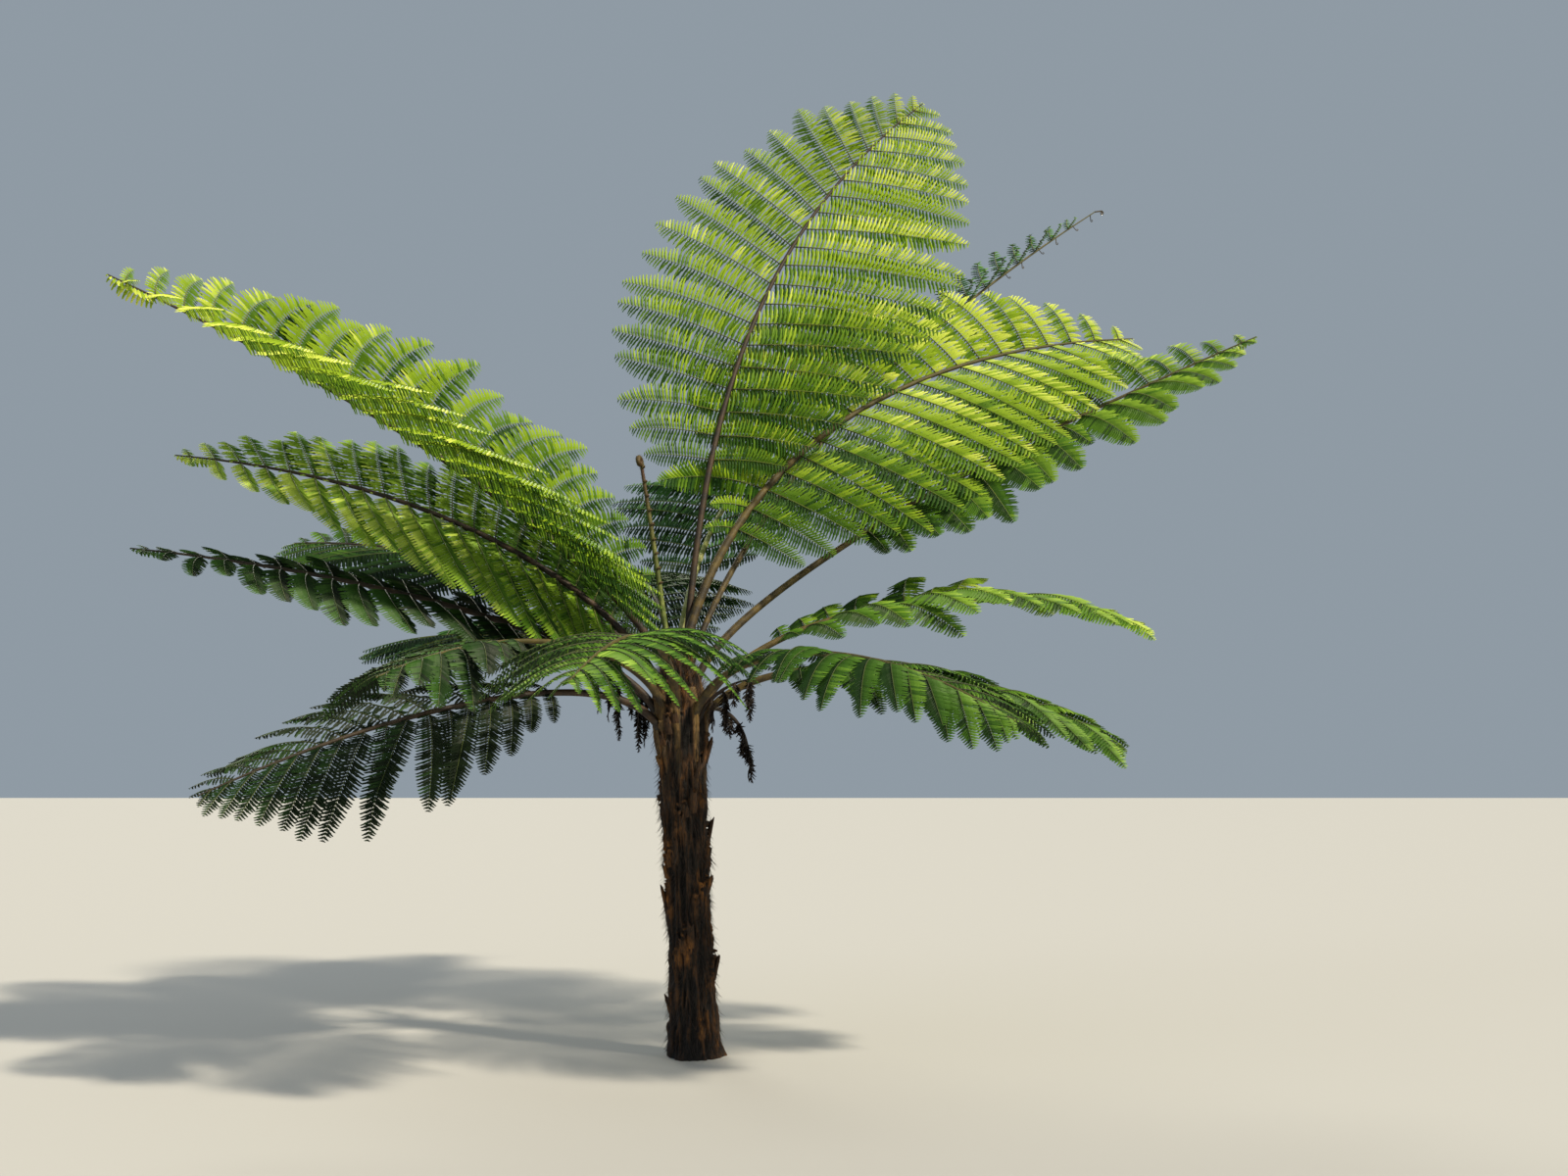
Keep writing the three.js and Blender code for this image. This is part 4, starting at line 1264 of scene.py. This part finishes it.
def sheath(name, seed):
    """A torn stalk base of length 1 along Z and half width about 1, hollow and jagged on top."""
    rng = random.Random(seed)
    vertices = []
    for ring in range(SHEATH_RINGS):
        up = ring / (SHEATH_RINGS - 1)
        wide = 1 - 0.3 * up
        for i in range(SHEATH_SIDES):
            way = i * 2 * pi / SHEATH_SIDES
            lift = up * (1 + (rng.uniform(-0.32, 0.1) if up == 1 else 0))
            vertices.append((cos(way) * wide, sin(way) * wide * 0.6 + lift * 0.25, lift))
    faces = grid_faces(SHEATH_SIDES, SHEATH_RINGS)
    faces += fan_faces(len(vertices) - SHEATH_SIDES, SHEATH_SIDES, len(vertices))
    faces.append(tuple(reversed(range(SHEATH_SIDES))))
    return new_object(name, [*vertices, (0, 0.15, 0.62)], faces=faces)


def set_shapes(name, shape, paint, spots):
    """Sets a shape on each spot: (place, aim, face, size) tuples."""
    places, *ways = zip(*spots)
    obj = new_object(name, places)
    for label, values in zip(("aim", "face", "size"), ways):
        store(obj, label, "FLOAT_VECTOR", [tuple(value) for value in values])
    return grow(obj, SETTING, {"Shape": shape, "Paint": paint})


def sheath_spots():
    """Where the sheaths stand, dealt out to the shapes in turn."""
    rng = random.Random(11)
    spots = [[] for _ in range(SHEATH_SHAPES)]
    for number, (heading, low, in_solid) in enumerate(stub_places()):
        if not in_solid and rng.random() < SHEATH_LEFT_OUT:
            continue
        out = direction(heading, 0)
        foot = low + (0.03 if in_solid else 0.06)
        place = trunk_axis(foot) + out * (float(trunk_radius(foot)) + 0.002)
        long = rng.uniform(*SHEATH["long" if in_solid else "long_between"])
        wide = rng.uniform(*SHEATH["wide"])
        aim = UP + out * rng.uniform(*SHEATH["lean"])
        aim = aim + direction(heading + 90, 0) * rng.uniform(-SHEATH["aside"], SHEATH["aside"])
        spots[number % SHEATH_SHAPES].append((place, aim, out, (wide, wide, long)))
    return spots


pieces = []
for number, spots in enumerate(sheath_spots()):
    shape = sheath(f"sheath_{number}", number)
    pieces.append(set_shapes(f"sheaths_{number}", shape, bark, spots))
    bpy.data.objects.remove(shape)
sheaths = pieces[0]
with bpy.context.temp_override(active_object=sheaths, selected_editable_objects=pieces):
    bpy.ops.object.join()
sheaths.name = "trunk_sheaths"
store(sheaths, "proud", "FLOAT", [0.55] * len(sheaths.data.vertices))
print("sheaths:", triangles(sheaths), "triangles")

# %% Fibres
FIBRE_THICK = 0.022
FIBRE_CURVE = 0.35


def fibre(name):
    """A curved hair of length 1 along Z: three sides, ending in a point."""
    vertices = []
    for up in (0, 0.4, 0.75):
        for i in range(3):
            way = i * 2 * pi / 3
            thick = FIBRE_THICK * (1 - 0.6 * up)
            vertices.append((cos(way) * thick, sin(way) * thick + FIBRE_CURVE * up * up, up))
    vertices.append((0, FIBRE_CURVE, 1))
    return new_object(name, vertices, faces=grid_faces(3, 3) + fan_faces(6, 3, 9))


hair = fibre("hair")
hair_dark = stalk_material("hair_dark", "120c08", "3a2616", "2a1a10")
hair_gold = stalk_material("hair_gold", "4a3014", "a87434", "8a5c2a")


def strewn(name, over, hairy, paint, density, longest, way, wild, off, seed):
    """Fibres over a piece's surface, denser where hairy is higher."""
    obj = bpy.data.objects.new(name, over.data.copy())
    bpy.context.scene.collection.objects.link(obj)
    store(obj, "hairy", "FLOAT", hairy)
    values = {"Shape": hair, "Paint": paint, "Density": density, "Longest": longest}
    values |= {"Way": (0, 0, way), "Wild": wild, "Off": off, "Seed": seed}
    return grow(obj, STREWING, values)


low_fibres = np.clip(np.array([*(1.45 - trunk_height), 0, 0]) * 4, 0, 1)
top_wool = np.clip(np.array([*(trunk_height - 1.5), 0, 0.3]) * 5, 0, 1)
hanging = dict(density=3800.0, longest=0.06, way=-1.0, wild=0.3, off=0.2, seed=3)
standing = dict(density=12000.0, longest=0.05, way=0.9, wild=0.45, off=0.4, seed=5)
fibres = strewn("trunk_fibres", trunk, low_fibres, hair_dark, **hanging)
wool = strewn("trunk_wool", trunk, top_wool, hair_gold, **standing)
print("fibres:", triangles(fibres), "wool:", triangles(wool), "triangles")

# %% [markdown]
# ## The rolled-up frond
# A new frond starts as a bare stalk with a coiled club on top. Its leaflets are still knobs, coiled too,
# in pairs below the club. One spiral does for both: a line that runs straight and then rolls up.

# %% The crozier
CROZIER = dict(
    heading=196, swing=0, rise=83, fall=80, bend=1, length=0.98, turn=160, seat=0.03, z=1.68, stalk=0.011,
    steps=9, roll=0, twist=0,
)
CROZIER_SWELL = 0.004
CROZIER_SIDES = 10
KNOBS = 9
KNOBS_FROM = 0.42
KNOBS_TO = 0.97
KNOB = dict(straight=0.012, turns=1.3, thick=0.0052)
CLUB = dict(straight=0.018, size=0.021, turns=1.6, thick=0.0125)


def knobs_of(stalk, line):
    """Pairs of coiled knobs up a stalk, smaller and smaller."""
    rng = random.Random(4)
    found = []
    for i in range(KNOBS):
        middle, ahead, right, face = midrib_at(stalk, line, blend(KNOBS_FROM, KNOBS_TO, i / (KNOBS - 1)))
        for side in (-1, 1):
            out = (right * side + ahead * rng.uniform(0.5, 0.9)).normalized()
            size = blend(0.0085, 0.006, i / KNOBS) * rng.uniform(0.85, 1.1)
            found.append(coil(middle, out, face + ahead * 0.5, size=size, **KNOB))
    return found


def crozier_lines():
    """The stalk, its knobs and its club."""
    line = smoothed(midrib_line(CROZIER))
    points, places = line
    radii = [midrib_radius(CROZIER, along) + CROZIER_SWELL * along for along in places]
    stalk = dict(points=points, thick=radii, along=[place**1.5 for place in places], tone=0)
    ahead = (points[-1] - points[-2]).normalized()
    club = coil(points[-1] - ahead * 0.01, ahead, direction(CROZIER["heading"] + 60, 0), **CLUB)
    return [stalk, *knobs_of(CROZIER, line), club]


crozier_paint = stalk_material("crozier_paint", "4f6424", "8e9c4a", "43180c")
crozier = tubes("crozier_stalk", crozier_lines(), CROZIER_SIDES, crozier_paint, crozier_paint)
upper = np.array([vertex.co.z for vertex in crozier.data.vertices])
scaly = dict(density=26000.0, longest=0.013, way=0.5, wild=0.5, off=0.7, seed=9)
scales = strewn("crozier_scales", crozier, np.clip((upper - 1.9) * 2, 0.15, 1), hair_dark, **scaly)
print("crozier:", triangles(crozier), "scales:", triangles(scales), "triangles")

# %% [markdown]
# ## Dead fronds
# Short dry stalks under the crown, hung with black strands. Each strand of the solid is a rib here, with
# two thinner ones beside it, and the tree of pinnules gives them their shrivelled pinnules.

# %% Strands of the dead fronds
DEAD_COMMON = dict(swing=0, bend=1, roll=0, twist=0, steps=6, stalk=0.01, first=0.4)
DEAD = (
    dict(
        name="dead_frond_left", heading=172, rise=34, fall=8, length=0.42, turn=166, seat=0.088, z=1.417,
        first=0.36, strands=6, hang=0.27, spread=0.026,
    ),
    dict(
        name="dead_frond_right", heading=-26, rise=30, fall=0, length=0.36, turn=-28, seat=0.086, z=1.44,
        strands=4, hang=0.2, spread=0.024,
    ),
    dict(
        name="dead_frond_hanging", heading=34, rise=74, fall=-88, bend=0.5, length=0.43, turn=38, seat=0.092,
        z=1.49, stalk=0.011, steps=8, strands=7, hang=0.11, spread=0.022,
    ),
)
STRAND_PARTS = 6
BESIDE = ((0, 1, 0), (0.014, 0.8, 0.4), (-0.012, 0.62, -0.5))


def strands_of(frond, line, rng):
    """The hanging ribs of a dead frond: each of the solid's strands, and thinner ones beside it."""
    points, places = line
    across = direction(frond["heading"] + 90, 0)
    found = []
    for i in range(frond["strands"]):
        along = blend(frond["first"], 1, i / (frond["strands"] - 1))
        at = points[min(range(len(places)), key=lambda k: abs(places[k] - along))]
        length = frond["hang"] * (1 - 0.25 * (1 - sin(2.4 * i)))
        aside = frond["spread"] * sin(1.9 * i)
        for shift, share, wild in BESIDE:
            rib = []
            for k in range(STRAND_PARTS + 1):
                w = k / STRAND_PARTS
                sway = (aside + shift) * sin(min(1, w * 2.2) * pi / 2) * (1 - 0.3 * w)
                stray = Vector((rng.uniform(-1, 1), rng.uniform(-1, 1), 0)) * 0.006 * w
                wander = stray + across * 0.02 * wild * w
                rib.append(at + across * sway - UP * length * share * w + wander)
            found.append(rib)
    return found


print("strands:", sum(frond["strands"] * len(BESIDE) for frond in DEAD))

# %% Dead fronds
DEAD_TONES = (
    ("080504", "120b08"), ("0e0906", "20150e"), ("160e09", "342214"), ("2a1b0f", "5a3f22"),
)
DEAD_SPACE = 0.0085
DEAD_SINK = 0.5
DEAD_LEAN = {"Lean": 0.5, "Tip lean": 0.4, "Uneven": 0.7, "Tilt": 0.8}
STRAND_THICK = 0.0035
STRAND_THIN = 0.001

dead_paint = stalk_material("dead_stalk", "140d08", "3d2918", "22160d")
dead_leaves = [leaf_material(f"dead_{i}", *pair) for i, pair in enumerate(DEAD_TONES)]


def dead_frond(frond, number):
    """A dead frond's two pieces: its stalk with its strands, and their pinnules."""
    rng = random.Random(40 + number)
    line = smoothed(midrib_line(frond))
    ribs = strands_of(frond, line, rng)
    lines = [midrib_tube(frond, line), *[rib_tube(rib, STRAND_THICK, STRAND_THIN, 0) for rib in ribs]]
    dry = []
    for rib in ribs:
        values = dict(points=rib, spacing=DEAD_SPACE, sink=DEAD_SINK, fill=1.0, front=0)
        values["face"] = direction(rng.uniform(0, 360), 10)
        values["breadth"] = rng.uniform(0.026, 0.042)
        values["tone"] = rng.uniform(0, 1.4)
        dry.append(values)
    stalk = tubes(frond["name"] + "_stalk", lines, RIB_SIDES, dead_paint, dead_paint)
    return stalk, leafy(frond["name"] + "_leaves", dry, dead_leaves, {**DEAD_LEAN, "Seed": number})


dead_pieces = {}
for number, values in enumerate(DEAD):
    dead_pieces[values["name"]] = dead_frond({**DEAD_COMMON, **values}, number)
    print(values["name"], "triangles:", [triangles(piece) for piece in dead_pieces[values["name"]]])
for shape in (*pinnules.values(), hair):
    bpy.data.objects.remove(shape)

# %% [markdown]
# ## Which piece stands for which solid
# Every piece rides on the plant's one body. A frond's leaves and its ribs together stand for its solid.


# %% Attach the pieces to the body and hide the solids they stand for
def bind(piece, node):
    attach(piece, "root")
    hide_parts(node)


for frond in grown:
    bind(frond["leaves"], frond["name"])
    bind(frond["stalk_piece"], frond["name"])
for piece in (trunk, sheaths, fibres, wool):
    bind(piece, "trunk")
for piece in (crozier, scales):
    bind(piece, "crozier")
for name, dead in dead_pieces.items():
    for piece in dead:
        bind(piece, name)
print("pieces:", 2 * len(grown) + 4 + 2 + 2 * len(dead_pieces))

# %% [markdown]
# ## The studio
# A wide pale floor under a pale sky of even light. Three sun lamps light the plant: a warm one from the
# right and above, one behind that lifts the crown's rim, and a faint cool one from the left. Area lamps
# would do as well, but they light a plant of five metres unevenly. A sun lamp's angle softens its shadow.

# %% Floor and sky
FLOOR_SIZE = 120
SKY_STRENGTH = 0.42

corners = [(x * FLOOR_SIZE, y * FLOOR_SIZE, 0) for x, y in ((-1, -1), (1, -1), (1, 1), (-1, 1))]
floor = new_object("floor", corners, faces=[(0, 1, 2, 3)])
floor_paint, floor_tree, _ = new_material("floor_pale")
finish_material(floor_tree, {"Base Color": colour("b7b6b3"), "Roughness": 0.9})
floor.data.materials.append(floor_paint)
floor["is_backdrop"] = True

world = bpy.data.worlds.new("sky")
bpy.context.scene.world = world
world.use_nodes = True
sky = world.node_tree.nodes["Background"]
sky.inputs["Color"].default_value = colour("d4e4f2")
sky.inputs["Strength"].default_value = SKY_STRENGTH
bpy.context.scene.view_settings.view_transform = "Standard"
print("floor:", 2 * FLOOR_SIZE, "m wide")

# %% Lamps and camera
LAMPS = (
    dict(name="sun_side", place=(6.5, -4.5, 7.5), soft=4, strength=4.7, tint="fff2d8"),
    dict(name="rim", place=(-3, 8, 7), soft=20, strength=0.9, tint="fffbe8"),
    dict(name="fill", place=(-8, -5, 4), soft=30, strength=0.3, tint="e6f0ff"),
)
CAMERA_PLACE = (0.39, -7.0, 1.19)
CAMERA_TILT = 7.2
LENS_SHARE = 1577 / 1600

for lamp in LAMPS:
    light = bpy.data.lights.new(lamp["name"], "SUN")
    light.angle = radians(lamp["soft"])
    light.energy = lamp["strength"]
    light.color = colour(lamp["tint"])[:3]
    holder = bpy.data.objects.new(lamp["name"], light)
    holder.location = lamp["place"]
    holder.rotation_euler = (-holder.location).to_track_quat("-Z", "Y").to_euler()
    bpy.context.scene.collection.objects.link(holder)

camera = bpy.data.objects.new("camera", bpy.data.cameras.new("camera"))
camera.data.sensor_width = 36
camera.data.lens = camera.data.sensor_width * LENS_SHARE
camera.location = CAMERA_PLACE
camera.rotation_euler = (radians(90 + CAMERA_TILT), 0, 0)
bpy.context.scene.collection.objects.link(camera)
bpy.context.scene.camera = camera
print("lamps:", len(LAMPS), "lens:", round(camera.data.lens, 1), "mm")

# %% [markdown]
# ## Measure and finish
# Both boxes, the solids' and the visual model's, are measured and printed. The visual
# model has to stay inside the solids' box.

# %% Print the sizes
boxes = {"cad": cad_box, "visual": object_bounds()}
for name, (low, high) in boxes.items():
    print(name, [round(b - a, 3) for a, b in zip(low, high)])
